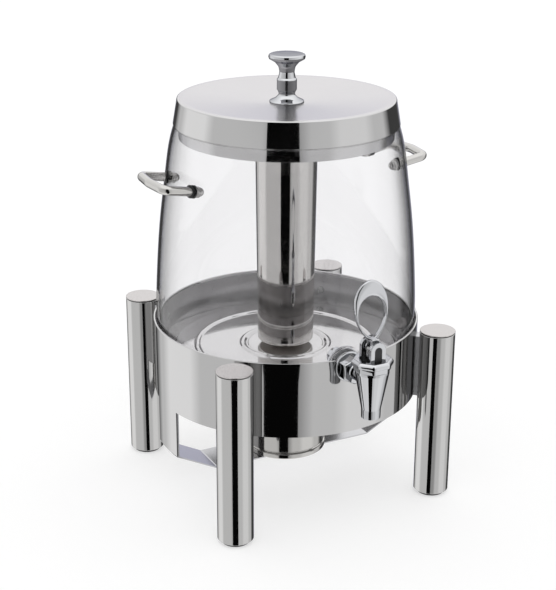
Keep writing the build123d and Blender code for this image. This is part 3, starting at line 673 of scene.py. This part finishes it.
# ---------------------------------------------------------------- stand
def ring_columns():
    """(angle, lowest height, highest height) of each upright row of the band; None is the plain edge."""
    front = -90 + math.degrees(TAP_TURN)
    notch = math.degrees(math.asin(NOTCH_HALF / RING_R))
    tab = math.degrees(math.asin(TAB_HALF / RING_R))
    columns = []
    for k in range(288):
        angle = -180 + 1.25 * k
        near_tab = min(abs(abs(angle) - tab), abs(180 - abs(angle) - tab)) < 0.3
        if abs(angle - front) < notch + 0.3 or near_tab:
            continue
        under = abs(angle) < tab or 180 - abs(angle) < tab
        columns.append((angle, TAB_LOW if under else RING_LOW, None))
    for edge in (-180 + tab, tab):
        columns += [(edge - 1e-7, TAB_LOW, None), (edge, RING_LOW, None)]
    for edge in (-tab, 180 - tab):
        columns += [(edge - 1e-7, RING_LOW, None), (edge, TAB_LOW, None)]
    for k in range(-16, 17):
        t = math.radians(90 * k / 16)
        angle = front + math.degrees(math.asin(NOTCH_HALF * math.sin(t) / RING_R))
        columns.append((angle, RING_LOW, TAP_Z - NOTCH_HALF * math.cos(t)))
    columns += [(front - notch - 1e-7, RING_LOW, None), (front + notch + 1e-7, RING_LOW, None)]
    return sorted(columns)


def ring_band():
    """The band with its folded top edge, the open notch for the tap and the two tabs."""
    section = rounded([(RING_IN, 0), (RING_R, 0), (RING_R, RING_TOP, 0.9), (HEM_IN, RING_TOP, 0.9),
                       (HEM_IN, HEM_LOW), (RING_IN, HEM_LOW)], 5)
    bm = bmesh.new()
    rings = []
    for angle, low, high in ring_columns():
        a = math.radians(angle)
        loop = []
        for radius, height in section:
            if height < 1:
                height = low
            elif high is not None:
                radius, height = max(radius, RING_IN), min(height, high)
            loop.append(bm.verts.new((radius * math.cos(a), radius * math.sin(a), height)))
        rings.append(loop)
    for here, there in zip(rings, rings[1:] + rings[:1]):
        for i in range(len(section)):
            j = (i + 1) % len(section)
            bm.faces.new((here[i], there[i], there[j], here[j]))
    bmesh.ops.remove_doubles(bm, verts=bm.verts[:], dist=SAME_PLACE)
    bmesh.ops.dissolve_degenerate(bm, dist=SAME_PLACE, edges=bm.edges[:])
    for face in bm.faces:
        middle = face.calc_center_median()
        tangent = Vector((-middle.y, middle.x, 0)).normalized()
        face.normal_update()
        # The side edges of the tabs get the near-black material as painted shade.
        if middle.z < RING_LOW and abs(face.normal.dot(tangent)) > 0.9:
            face.material_index = 2
        elif math.hypot(middle.x, middle.y) < RING_IN + 0.2 and middle.z < HEM_LOW + 0.2:
            face.material_index = 1
    piece("ring_wall", bm, "stand", ["ring_band"], "mirror_steel", MIRROR, RING_INSIDE, PAINTED_SHADE_EDGE)


def strap_section(y):
    """Outline of the strap in the x, z plane at a distance y from its middle line."""
    def end(radius):
        return math.sqrt(radius ** 2 - y ** 2)

    def slope(x):
        return FLAT_Z + (TAB_LOW - FLAT_Z) * (x - FLAT_HALF) / (RING_R - FLAT_HALF)

    drop = SHEET * 1.15
    outer, back, face = end(RING_R), end(RING_IN - 0.02), end(RING_IN - SHEET)
    half = [(FLAT_HALF, FLAT_Z, 5.0), (outer, slope(outer)), (back, TAB_LOW - 0.05), (back, LEG_TOP),
            (face, LEG_TOP, 0.4), (face, slope(face) + drop, 2.0), (FLAT_HALF, FLAT_Z + SHEET, 6.5)]
    return rounded(half + [(-x, z, *more) for x, z, *more in reversed(half)], 5)


def strap():
    bm = bmesh.new()
    stations = []
    for k in range(-12, 13):
        y = TAB_HALF * k / 12
        stations.append([Vector((x, y, z)) for x, z in strap_section(y)])
    swept(bm, stations)
    piece("burner_strap", bm, "stand", ["burner_bracket"], "satin_steel", SHEET_SATIN)


def stand():
    ring_band()
    turned_piece("vessel_ledge", "stand", ["rest_ledge"], "satin_steel", [
        (126.0, LEDGE_Z - SHEET, 0.5), (147.0, LEDGE_Z - SHEET, 0.6), (147.0, 139.0), (148.47, 139.0),
        (148.47, LEDGE_Z, 2.0), (126.0, LEDGE_Z, 0.5)], LEDGE_STEEL)
    strap()
    for name, angle in POST_PLACES.items():
        turned_piece("leg_" + name, "stand", ["post_" + name], "mirror_steel", [
            (18.1, 3.8, 0.4), (19.6, 3.8, 0.6), (19.6, 195.6, 1.2), (18.1, 195.6)],
            POST_STEEL, segments=144, centres=[post_centre(angle)])
    centres = [post_centre(angle) for angle in POST_PLACES.values()]
    bm = bmesh.new()
    cap = rounded([(0, 183.6), (18.0, 183.6, 0.5), (18.0, 195.7), (18.4, 195.7), (18.4, 196.6),
                   (19.6, 196.6, 0.3),
                   (19.6, 197.75, 0.5), (14.0, 197.85, 3.0), (0, 197.85)], 5)
    for centre in centres:
        # The groove under each cap gets the near-black material as painted shade.
        for face in turn_profile(bm, cap, 144, centre):
            if 195.5 < face.calc_center_median().z < 196.65:
                face.material_index = 1
    piece("leg_caps", bm, "stand", ["post_caps"], "satin_steel", CAP_SATIN, PAINTED_SHADE_EDGE)
    turned_piece("leg_feet", "stand", ["rubber_feet"], "black_rubber", [
        (0, 1.0), (10.0, 1.0), (10.6, 0, 0.4), (15.8, 0, 1.0), (16.2, 4.8, 0.5), (18.05, 4.9),
        (18.05, 15.8, 0.6),
        (0, 15.8)], BLACK_RUBBER, segments=96, centres=centres)


# ---------------------------------------------------------------- fuel holder
def holder():
    bm = bmesh.new()
    lathe(bm, [(0, 34.32), (46.6, 34.32, 0.8), (47.0, 35.5, 0.6), (47.0, 39.9, 1.2), (45.4, 40.5, 0.6),
               (44.8, 41.3, 0.6), (44.8, 42.1, 0.6), (46.0, 42.7, 0.8), (46.0, 88.0, 0.5), (44.8, 88.0, 0.5),
               (44.8, 44.3, 2.5), (0, 44.3)], 160)
    prism(bm, [(-45.6, 5, 0.5), (-57.5, 5, 4.9), (-57.5, -5, 4.9), (-45.6, -5, 0.5)], 74.0, 87.8, 0.5)
    piece("burner_cup", bm, "fuel_burner", ["fuel_holder"], "holder_steel", HOLDER_STEEL)
    bm = bmesh.new()
    lathe(bm, [(0, 88.2), (45.9, 88.2, 0.5), (45.9, 90.4, 0.9), (38.0, 90.4, 2.0), (34.0, 89.9, 2.0),
               (0, 89.9)], 160)
    prism(bm, [(-44.0, 5, 0.3), (-57.5, 5, 4.9), (-57.5, -5, 4.9), (-44.0, -5, 0.3)], 88.2, 90.3, 0.5)
    placed_prism(bm, [(-7, -0.4, 0.3), (7, -0.4, 0.3), (7, 12.6, 4.0), (-7, 12.6, 4.0)], -2.0, 2.0, 0.8,
                 (32, 0, 89.8), (0, 1, 0), (0, 0, 1))
    piece("burner_cover", bm, "snuffer", ["snuffer_cover"], "holder_steel", HOLDER_STEEL)


# ---------------------------------------------------------------- vessel
SHELL_LINE = [(122.4, 417.57), (126.6, 403.0), (132.7, 365.6), (138.9, 318.8), (143.2, 271.9), (145.6, 232.0),
              (146.2, 208.0), (144.6, 188.0), (139.4, 168.0)]
SHELL_WALL = 3.0
PAD_Y, PAD_IN, PAD_R = -145.2, -140.8, 18.5
STUDS = [22.5 + 45 * k for k in range(8)]


def toward_tap(bm, corners, segments=96, steps=4):
    """Turned solid about the tap's shank; corners are (radius, y)."""
    return lathe(bm, [(r, -y, *more) for r, y, *more in corners], segments, (0, 0, TAP_Z), (0, -1, 0), steps)


def turned_to_tap(bm):
    """Turn a piece drawn along -y to the tap's direction."""
    bmesh.ops.rotate(bm, cent=(0, 0, 0), matrix=Matrix.Rotation(TAP_TURN, 3, "Z"), verts=bm.verts[:])


def clear_wall():
    """The barrel-shaped clear shell with its foot, floor, and flat pad for the tap."""
    outer = smooth_line(SHELL_LINE, 8)
    inner = [(r - SHELL_WALL, z) for r, z in reversed(outer)]
    foot = rounded([outer[-1], (133.5, 156.5, 2.0), (131.0, 153.04, 1.2), (126.5, 153.04, 1.0),
                    (126.0, 154.24, 0.3),
                    (104.0, 154.24, 0.3), (104.0, 158.56, 0.3), (128.5, 158.56, 2.5), inner[0]], 4)[1:-1]
    bm = bmesh.new()
    turn_profile(bm, [Vector(p) for p in outer] + foot + [Vector(p) for p in inner], 240)
    bmesh.ops.recalc_face_normals(bm, faces=bm.faces[:])
    tools = [("UNION", [(0, PAD_Y), (PAD_R, PAD_Y, 1.0), (PAD_R, -139.0), (0, -139.0)]),
             ("DIFFERENCE", [(0, -160.0), (PAD_R + 0.3, -160.0), (PAD_R + 0.3, PAD_Y - 0.03),
                             (0, PAD_Y - 0.03)]),
             ("DIFFERENCE", [(0, PAD_IN), (PAD_R - 1, PAD_IN), (PAD_R - 1, -128.0), (0, -128.0)]),
             ("DIFFERENCE", [(0, -160.0), (9.8, -160.0), (9.8, -120.0), (0, -120.0)])]
    for operation, corners in tools:
        tool = bmesh.new()
        toward_tap(tool, corners)
        turned_to_tap(tool)
        bmesh.ops.remove_doubles(tool, verts=tool.verts[:], dist=SAME_PLACE)
        bmesh.ops.recalc_face_normals(tool, faces=tool.faces[:])
        bm = carved(bm, tool, operation)
    piece("clear_wall", bm, "vessel", ["body_shell"], "clear_shell", CLEAR)


def pan():
    """Steel floor: flange, rolled rim, flat floor, a raised ring round the middle, and the weld studs below."""
    bm = bmesh.new()
    lathe(bm, [(0, 160.02), (126.0, 160.02, 0.4), (126.0, 161.2, 0.5), (104.4, 161.2, 1.0),
               (103.2, 163.0, 1.2),
               (101.0, 163.8, 2.0), (98.8, 162.9, 1.2), (97.4, 161.5, 1.6), (52.6, 161.5, 1.4),
               (50.8, 163.2, 1.6),
               (49.2, 163.9, 1.8), (47.0, 163.1, 1.8), (44.9, 160.9, 0.5), (43.6, 160.9, 0.5),
               (42.2, 162.0, 0.9),
               (0, 162.0)], 240, steps=8)
    for angle in STUDS:
        a = math.radians(angle)
        lathe(bm, [(0, 146.7), (2.0, 146.7, 0.4), (2.0, 160.4), (0, 160.4)], 24,
              (114 * math.cos(a), 114 * math.sin(a), 0))
    piece("pan", bm, "vessel", ["body_pan"], "pan_steel", PAN_STEEL)


# ---------------------------------------------------------------- vessel handles
HANDLE_Z, HANDLE_HALF, HANDLE_REACH, HANDLE_TILT = 365.0, 32.0, 158.4, 9.4
HANDLE_ROD, HANDLE_BOW, HANDLE_BEND, HANDLE_GAP = 5.0, 3.5, 7.5, 1.2
SHELL_AT_HANDLE = 132.8


def shell_radius(height):
    """Outside radius of the clear wall near the handles."""
    for (r1, z1), (r0, z0) in zip(SHELL_SAMPLES, SHELL_SAMPLES[1:]):
        if z0 <= height <= z1:
            return r0 + (r1 - r0) * (height - z0) / (z1 - z0)
    return SHELL_SAMPLES[0][0]


SHELL_SAMPLES = smooth_line(SHELL_LINE, 8)


def on_wall(point, direction, offset):
    """Where a line meets the wall's outside, moved outwards by an offset."""
    place = point.copy()
    for _ in range(12):
        miss = math.hypot(place.x, place.y) - shell_radius(place.z) - offset
        place -= direction * miss
    return place


def rounded_path(corners, radii, steps=10):
    """Points along a path through 3-D corners with round bends."""
    points = [corners[0]]
    for before, here, after, radius in zip(corners, corners[1:], corners[2:], radii):
        back, on = (before - here).normalized(), (after - here).normalized()
        half = back.angle(on) / 2
        reach = radius / math.tan(half)
        middle = here + (back + on).normalized() * radius / math.sin(half)
        first, last = here + back * reach - middle, here + on * reach - middle
        axis, sweep = first.cross(last).normalized(), first.angle(last)
        points += [middle + Matrix.Rotation(sweep * k / steps, 3, axis) @ first for k in range(steps + 1)]
    return points + [corners[-1]]


def divided(points, most):
    """The same path with extra points on its long straight stretches."""
    made = [points[0]]
    for a, b in zip(points, points[1:]):
        parts = max(1, math.ceil((b - a).length / most))
        made += [a.lerp(b, k / parts) for k in range(1, parts + 1)]
    return made


def tube_stations(path, radius, flat):
    """Rings of points round a path that lies in a plane with the normal flat."""
    stations = []
    for index, point in enumerate(path):
        before, after = path[max(index - 1, 0)], path[min(index + 1, len(path) - 1)]
        way = (after - before).normalized()
        side = way.cross(flat).normalized()
        angles = [2 * math.pi * k / 40 for k in range(40)]
        stations.append([point + (side * math.cos(a) + flat * math.sin(a)) * radius for a in angles])
    return stations


def handle_legs(side):
    wall_x = math.sqrt(SHELL_AT_HANDLE ** 2 - HANDLE_HALF ** 2)
    lean = math.radians(HANDLE_TILT)
    direction = Vector((side * math.cos(lean), 0, math.sin(lean)))
    return [(Vector((side * wall_x, y, HANDLE_Z)), direction) for y in (-HANDLE_HALF, HANDLE_HALF)]


def handle(side, name):
    (front, out), (back, _) = handle_legs(side)
    reach = (HANDLE_REACH - abs(front.x)) / math.cos(math.radians(HANDLE_TILT))
    middle = (front + back) / 2 + out * (reach + HANDLE_BOW)
    corners = [front + out * 1, front + out * reach, middle, back + out * reach, back + out * 1]
    path = divided(rounded_path(corners, [HANDLE_BEND, 3 * HANDLE_BEND, HANDLE_BEND], 12), 2.5)
    flat = out.cross(Vector((0, 1, 0))).normalized()
    bm = bmesh.new()
    stations = tube_stations(path, HANDLE_ROD, flat)
    for end, other in ((0, 1), (-1, -2)):
        stations[end] = [on_wall(p, out, HANDLE_GAP) for p in stations[end]]
        stations[other] = [p.lerp(q, 0.94) if (q - p).dot(out) < 0 else p
                           for p, q in zip(stations[other], stations[end])]
    swept(bm, stations)
    for origin in (front, back):
        lathe(bm, [(0, -13.0), (3.0, -13.0, 0.5), (3.0, 3.0), (0, 3.0)], 32, origin, out)
    piece(name + "_rod", bm, "vessel", [name], "handle_steel", ROD_STEEL)


def handle_fittings():
    """Soft washers on both faces of the wall and the domed nuts inside."""
    outside, inside, nuts = bmesh.new(), bmesh.new(), bmesh.new()
    for side in (-1, 1):
        for start, out in handle_legs(side):
            flat = out.cross(Vector((0, 1, 0))).normalized()
            across = Vector((0, 1, 0))
            angles = [2 * math.pi * k / 64 for k in range(64)]

            def ring(radius, offset, slack=0.0):
                places = [start + (across * math.cos(a) + flat * math.sin(a)) * radius for a in angles]
                return [on_wall(p, out, offset) + out * slack for p in places]

            def level(radius, distance):
                return [start + out * distance + (across * math.cos(a) + flat * math.sin(a)) * radius
                        for a in angles]

            swept(outside, [ring(3.3, 0.03), ring(6.7, 0.03), ring(7.0, 0.3), ring(7.0, 0.9), ring(6.7, 1.2),
                            ring(3.3, 1.2)], closed=True)
            swept(inside, [ring(3.3, -3.03), ring(6.8, -3.03), ring(7.0, -3.3), level(7.0, -5.2),
                           level(6.8, -5.4),
                           level(3.3, -5.4)], closed=True)
            lathe(nuts, [(3.0, -6.6), (3.0, -5.42), (6.6, -5.42, 0.4), (6.6, -6.5, 0.5), (5.0, -6.6)], 64,
                  start, out)
            hexagon = added(nuts, lambda: turn_polygon(nuts, [
                (0, 6.5), (4.9, 6.5, 1), (5.5, 6.9, 0.2), (5.5, 9.9, 0), (5.45, 10.4, 0.35), (5.05, 10.7, 1),
                (0, 10.7)], 6))
            laid_along(nuts, hexagon, start, -out)
            dome = [(5.0 * math.cos(t),
                     10.6 + 5.0 * math.sin(t)) for t in (math.pi / 2 * k / 10 for k in range(11))]
            lathe(nuts, [(0, 10.6)] + dome, 48, start, -out)
    piece("washers_outside", outside, "vessel", ["handle_outer_washers"], "black_rubber", WASHER_RUBBER)
    piece("washers_inside", inside, "vessel", ["handle_inner_washers"], "black_rubber", WASHER_RUBBER)
    piece("cap_nuts", nuts, "vessel", ["handle_nuts"], "handle_steel", NUT_STEEL)


# ---------------------------------------------------------------- ice tube and lid
def tube_and_lid():
    turned_piece("mouth_plate", "tube_set", ["tube_carrier"], "mirror_steel", [
        (34.8, 417.62), (115.8, 417.62, 0.8), (115.8, 404.0, 0.4), (117.0, 404.0, 0.4), (117.0, 416.6, 0.9),
        (118.0, 417.62), (122.4, 417.62, 0.4), (122.4, 418.78, 0.5), (34.8, 418.78)], MIRROR, segments=240)
    bm = bmesh.new()
    for face in lathe_faces(bm, [
        (0, 167.6), (31.5, 167.6, 2.6), (34.5, 418.82), (40.5, 418.82), (40.5, 420.0, 0.8),
        (33.3, 420.0, 0.9), (30.3, 168.8, 1.6), (0, 168.8)], 160):
        middle = face.calc_center_median()
        # The tube's bottom face gets the pale end material, which is painted light.
        if middle.z < 167.7 and math.hypot(middle.x, middle.y) < 29.5:
            face.material_index = 1
    piece("cooling_tube", bm, "tube_set", ["ice_tube"], "mirror_steel", TUBE_STEEL, TUBE_END_PAINTED_LIGHT)
    bm = bmesh.new()
    skirt = [(119.1, 418.84, 0.3), (123.25, 418.84, 0.5), (118.4, 446.4, 1.8), (112.4, 446.4, 10.0),
             (22.0, 440.8, 14.0), (2.6, 440.8), (2.6, 439.6), (22.0, 439.6, 12.0), (112.4, 445.2, 8.0),
             (117.2, 445.2, 1.0), (122.05, 420.04, 0.4), (119.1, 420.04)]
    for face in lathe_faces(bm, skirt, 288):
        middle = face.calc_center_median()
        radius = math.hypot(middle.x, middle.y)
        if radius < 116.9 and middle.z > 440.5:
            face.material_index = 1
    piece("lid_dish", bm, "lid", ["lid_shell"], "mirror_steel", MIRROR, LID_TOP)
    bm = bmesh.new()
    lathe(bm, [(0, 440.83), (18.7, 440.83, 0.4), (18.7, 442.2, 1.0), (12.4, 445.2, 5.0), (8.4, 449.2, 3.0),
               (9.8, 453.0, 0.8), (10.8, 454.2, 1.0), (10.8, 465.4, 1.2), (9.4, 467.2, 1.5),
               (8.1, 473.2, 6.0),
               (9.2, 479.0, 6.0), (13.4, 484.0, 5.0), (19.4, 487.4, 1.8), (20.0, 489.6, 1.6),
               (19.4, 491.8, 1.0),
               (17.6, 492.7, 1.4), (8.0, 492.98, 3.0), (0, 492.98)], 144, steps=6)
    piece("knob", bm, "lid", ["lid_knob"], "chrome_trim", CHROME)


def lathe_faces(bm, corners, segments):
    return turn_profile(bm, rounded(corners, 6), segments)


# ---------------------------------------------------------------- tap
TAP_Y = -199.3
PIVOT_Z = 229.0
BONNET_R = (22.0, 19.6)
RECESS_Z, ROOF_Z = 214.2, 211.0


def tap():
    bm = bmesh.new()
    lathe(bm, [(7.0, 152.0, 0.3), (10.0, 152.0, 0.7), (10.2, 162.0, 14.0), (17.8, 202.8, 2.0),
               (17.8, 205.6, 0.5),
               (13.4, 205.6), (13.4, 210.8), (10.0, 210.8), (10.0, 184.0), (4.5, 184.0), (4.5, 181.0),
               (11.0, 177.0),
               (7.0, 162.0, 6.0)], 144, (0, TAP_Y, 0))
    toward_tap(bm, [(5.5, -118.0), (9.5, -118.0, 0.6), (9.5, -147.3), (12.6, -147.3), (12.6, -150.8),
                    (9.0, -150.8)])
    toward_tap(bm, [(8.0, -150.6), (16.6, -150.6, 1.0), (16.6, -154.0, 1.3), (8.0, -154.0)], 128)
    hexagon = added(bm, lambda: turn_polygon(bm, [
        (7.0, 153.8), (13.5, 153.8, 0), (13.5, 164.4, 0), (13.45, 165.6, 0.25), (13.1, 166.6, 0.8),
        (12.7, 167.0, 1),
        (7.0, 167.0)], 6, turn=math.pi / 6))
    laid_along(bm, hexagon, (0, 0, TAP_Z), (0, -1, 0), (0, 0, 1))
    toward_tap(bm, [(5.5, -166.0), (8.9, -166.0), (8.9, -167.6, 0.8), (8.1, -169.0, 1.5), (8.1, TAP_Y + 8),
                    (5.5, TAP_Y + 8)])
    turned_to_tap(bm)
    piece("tap_casting", bm, "vessel", ["tap_body"], "chrome_trim", CHROME)
    bonnet()


def bonnet():
    """Two octagonal tiers with a groove between them, a recess on top and the two ears."""
    bm = bmesh.new()
    wide, narrow = (corner * math.cos(math.pi / 8) for corner in BONNET_R)
    upper = [(9.0, 211.3), (narrow - 0.8, 211.3, 0.5), (narrow - 0.8, 211.5, 0.3), (wide - 0.9, 211.5, 0.1),
             (wide - 0.2, 211.8, 0), (wide, 212.4, 0), (wide, 214.4, 0), (wide - 0.3, 215.1, 0),
             (wide - 2.0, 217.3, 0.05),
             (wide - 2.8, 217.6, 0.12), (14.2, 217.6, 1), (13.3, 217.4, 1), (13.0, 216.8, 1),
             (13.0, 214.4, 1),
             (12.8, RECESS_Z, 1), (2.7, RECESS_Z, 1), (2.7, ROOF_Z, 1), (9.0, ROOF_Z, 1)]
    lower = [(13.5, 205.7, 1), (narrow - 0.7, 205.7, 0.2), (narrow - 0.1, 206.0, 0), (narrow, 206.5, 0),
             (narrow, 210.2, 0), (narrow - 0.1, 210.6, 0), (narrow - 0.8, 210.9, 0.2),
             (narrow - 0.9, 211.4, 0.2),
             (13.5, 211.4, 1)]
    verts = added(bm, lambda: [turn_polygon(bm, tier, 8, softness=0.008) for tier in (upper, lower)])
    bmesh.ops.translate(bm, vec=(0, TAP_Y, 0), verts=verts)
    for side in (-1, 1):
        ear(bm, side)
    turned_to_tap(bm)
    piece("bonnet", bm, "vessel", ["tap_bonnet"], "chrome_trim", CHROME)


EAR_Y = (7.6, 12.0)
EAR_R, EAR_SLOT = 8.8, 3.9


def arch(radius, steps=16):
    """Half circle about the pivot, in the ear's plane, from its right end over the top to its left end."""
    turns = [math.pi * k / steps for k in range(steps + 1)]
    return [(radius * math.cos(t), PIVOT_Z - RECESS_Z + radius * math.sin(t)) for t in turns]


def ear(bm, side):
    """One ear of the bonnet: a plate with a round top and an open slot, standing on the recess."""
    low, high = sorted((-side * EAR_Y[0], -side * EAR_Y[1]))
    slot = [(-EAR_SLOT, -0.3)] + arch(EAR_SLOT)[::-1] + [(EAR_SLOT, -0.3)]
    outline = [(-EAR_R, -0.3)] + slot + [(EAR_R, -0.3)] + arch(EAR_R)
    placed_prism(bm, outline, low, high, 0.5, (0, TAP_Y, RECESS_Z), (1, 0, 0), (0, 0, 1))


def bearing():
    """Black insert: a disc on the recess's floor with an upright in the slot of each ear."""
    bm = bmesh.new()
    lathe(bm, [(2.7, 214.22), (12.9, 214.22), (12.9, 215.0, 0.3), (2.7, 215.0, 0.2)], 96, (0, TAP_Y, 0))
    for side in (-1, 1):
        low, high = sorted((-side * EAR_Y[0], -side * 11.5))
        placed_prism(bm, [(-EAR_SLOT, 0.1), (EAR_SLOT, 0.1)] + arch(EAR_SLOT - 0.02), low, high, 0.25,
                     (0, TAP_Y, RECESS_Z), (1, 0, 0), (0, 0, 1))
    turned_to_tap(bm)
    piece("pivot_bearing", bm, "vessel", ["tap_bearing"], "black_nylon", BLACK_NYLON)


def pins():
    bm = bmesh.new()
    for side in (-1, 1):
        lathe(bm, [(0, 3.6), (2.15, 3.6, 0.2), (2.15, 10.9), (0, 10.9)], 32, (0, TAP_Y, PIVOT_Z),
              (0, side, 0))
    turned_to_tap(bm)
    piece("pivot_pins", bm, "vessel", ["tap_pivot_pins"], "chrome_trim", CHROME)


COIL_R, COIL_WIRE, COIL_TURNS, COIL_STEPS, COIL_SLACK = 5.0, 0.55, 7, 32, 0.1


def closing_coil():
    """Coil spring between the stem's collar and the bonnet's roof."""
    low, high = (corner.z for corner in span("tap_spring"))
    bottom = low + COIL_SLACK + COIL_WIRE
    rise = high - COIL_SLACK - COIL_WIRE - bottom
    count = COIL_TURNS * COIL_STEPS
    stations = []
    for k in range(count + 1):
        angle = 2 * math.pi * k / COIL_STEPS
        outward = Vector((math.cos(angle), math.sin(angle), 0))
        middle = Vector((0, TAP_Y, bottom + rise * k / count)) + outward * COIL_R
        around = [2 * math.pi * step / 12 for step in range(12)]
        stations.append([middle + (outward * math.cos(t) + Vector((0, 0, math.sin(t)))) * COIL_WIRE
                         for t in around])
    bm = bmesh.new()
    swept(bm, stations)
    turned_to_tap(bm)
    coil = piece("closing_coil", bm, "stem", ["tap_spring"], "stem_steel", PLAIN_STEEL)
    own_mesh(coil)


LOOP_LOW, LOOP_TOP, LOOP_HALF, LOOP_LEAN = 236.8, 302.4, 19.0, -4.5
CHEEK_Y = (3.2, 7.3)


def loop_line(half, low, high, full):
    """Egg-shaped closed curve in the x, z plane."""
    widest = low + (high - low) * full
    side = [(half * 0.62, low + (widest - low) * 0.32), (half, widest),
            (half * 0.72, widest + (high - widest) * 0.72)]
    corners = [(0, low)] + side + [(0, high)] + [(-x, z) for x, z in reversed(side)]
    return smooth_line(corners, 40, closed=True)


def crossing(line, centre, angle):
    """Point of a closed curve seen from a centre at an angle."""
    best = min(line, key=lambda p: abs((math.atan2(p[1] - centre[1], p[0] - centre[0]) - angle + math.pi)
                                       % (2 * math.pi) - math.pi))
    reach = math.dist(best, centre)
    return Vector((centre[0] + reach * math.cos(angle), centre[1] + reach * math.sin(angle)))


def lever():
    """Loop lever: a rounded band that swells into a crowned finger rest, on two cheeks at the pivot."""
    outer = loop_line(LOOP_HALF, LOOP_LOW, LOOP_TOP, 0.55)
    hole = loop_line(LOOP_HALF - 3.6, LOOP_LOW + 3.6, LOOP_TOP - 17.0, 0.52)
    centre = (0, LOOP_LOW + 3.6 + (LOOP_TOP - 17.0 - LOOP_LOW - 3.6) * 0.5)
    stations = []
    for k in range(128):
        angle = 2 * math.pi * k / 128 - math.pi / 2
        near, far = crossing(hole, centre, angle), crossing(outer, centre, angle)
        middle, reach = (near + far) / 2, (far - near) / 2
        station = []
        for step in range(36):
            t = 2 * math.pi * step / 36
            c, s = math.cos(t), math.sin(t)
            across = math.copysign(abs(c) ** 0.8, c)
            deep = math.copysign(abs(s) ** 0.8, s)
            place = middle + reach * across
            station.append(Vector((place.x, -3.0 * deep, place.y)))
        stations.append(station)
    bm = bmesh.new()
    swept(bm, stations, closed=True)
    for side in (-1, 1):
        near, far = sorted((side * CHEEK_Y[0], side * CHEEK_Y[1]))
        placed_prism(bm, [(-4.6, 0, 0.4), (4.6, 0, 0.4), (4.2, LOOP_LOW + 2.6 - PIVOT_Z, 1.8),
                          (-4.2, LOOP_LOW + 2.6 - PIVOT_Z, 1.8)], near, far, 0.6, (0, 0, PIVOT_Z), (1, 0, 0),
                          (0, 0, 1))
    placed_prism(bm, [(-4.6, 0, 0.8), (4.6, 0, 0.8), (4.2, 3.6, 1.2), (-4.2, 3.6, 1.2)], -CHEEK_Y[1],
                 CHEEK_Y[1], 0.8,
                 (0, 0, LOOP_LOW), (1, 0, 0), (0, 0, 1))
    lean = Matrix.Translation((0, 0, PIVOT_Z)) @ Matrix.Rotation(math.radians(LOOP_LEAN), 4, "Y") \
        @ Matrix.Translation((0, 0, -PIVOT_Z))
    bmesh.ops.transform(bm, matrix=Matrix.Translation((0, TAP_Y, 0)) @ lean, verts=bm.verts[:])
    for side in (-1, 1):
        lathe(bm, [(2.3, CHEEK_Y[0]), (6.2, CHEEK_Y[0], 0.4), (6.2, CHEEK_Y[1], 0.6), (2.3, CHEEK_Y[1])], 64,
              (0, TAP_Y, PIVOT_Z), (0, side, 0))
    lathe(bm, [(0, -3.6), (1.8, -3.6), (1.8, 3.6), (0, 3.6)], 32, (-2.6, TAP_Y, PIVOT_Z - 1.5), (0, 1, 0))
    turned_to_tap(bm)
    piece("loop_lever", bm, "lever", ["tap_lever"], "chrome_trim", CHROME)


for cad_object in frame["nodes"].values():
    slot_name = next(s["material_slot"] for s in frame["record"]["subparts"] if s["node"] == cad_object.name)
    kept = {"clear_shell": CLEAR, "black_rubber": BLACK_RUBBER, "grey_silicone": GREY_SILICONE,
            "chrome_trim": CHROME, "mirror_steel": MIRROR, "pan_steel": PAN_STEEL, "handle_steel": ROD_STEEL,
            "holder_steel": HOLDER_STEEL, "satin_steel": SHEET_SATIN}.get(slot_name, PLAIN_STEEL)
    cad_object.data.materials.clear()
    cad_object.data.materials.append(kept)

stand()
holder()
clear_wall()
pan()
handle(-1, "left_handle")
handle(1, "right_handle")
handle_fittings()
tube_and_lid()
tap()
bearing()
pins()
closing_coil()
lever()

add_camera()
light_studio()
add_card()
add_floor()

bpy.context.scene.view_settings.view_transform = "Standard"
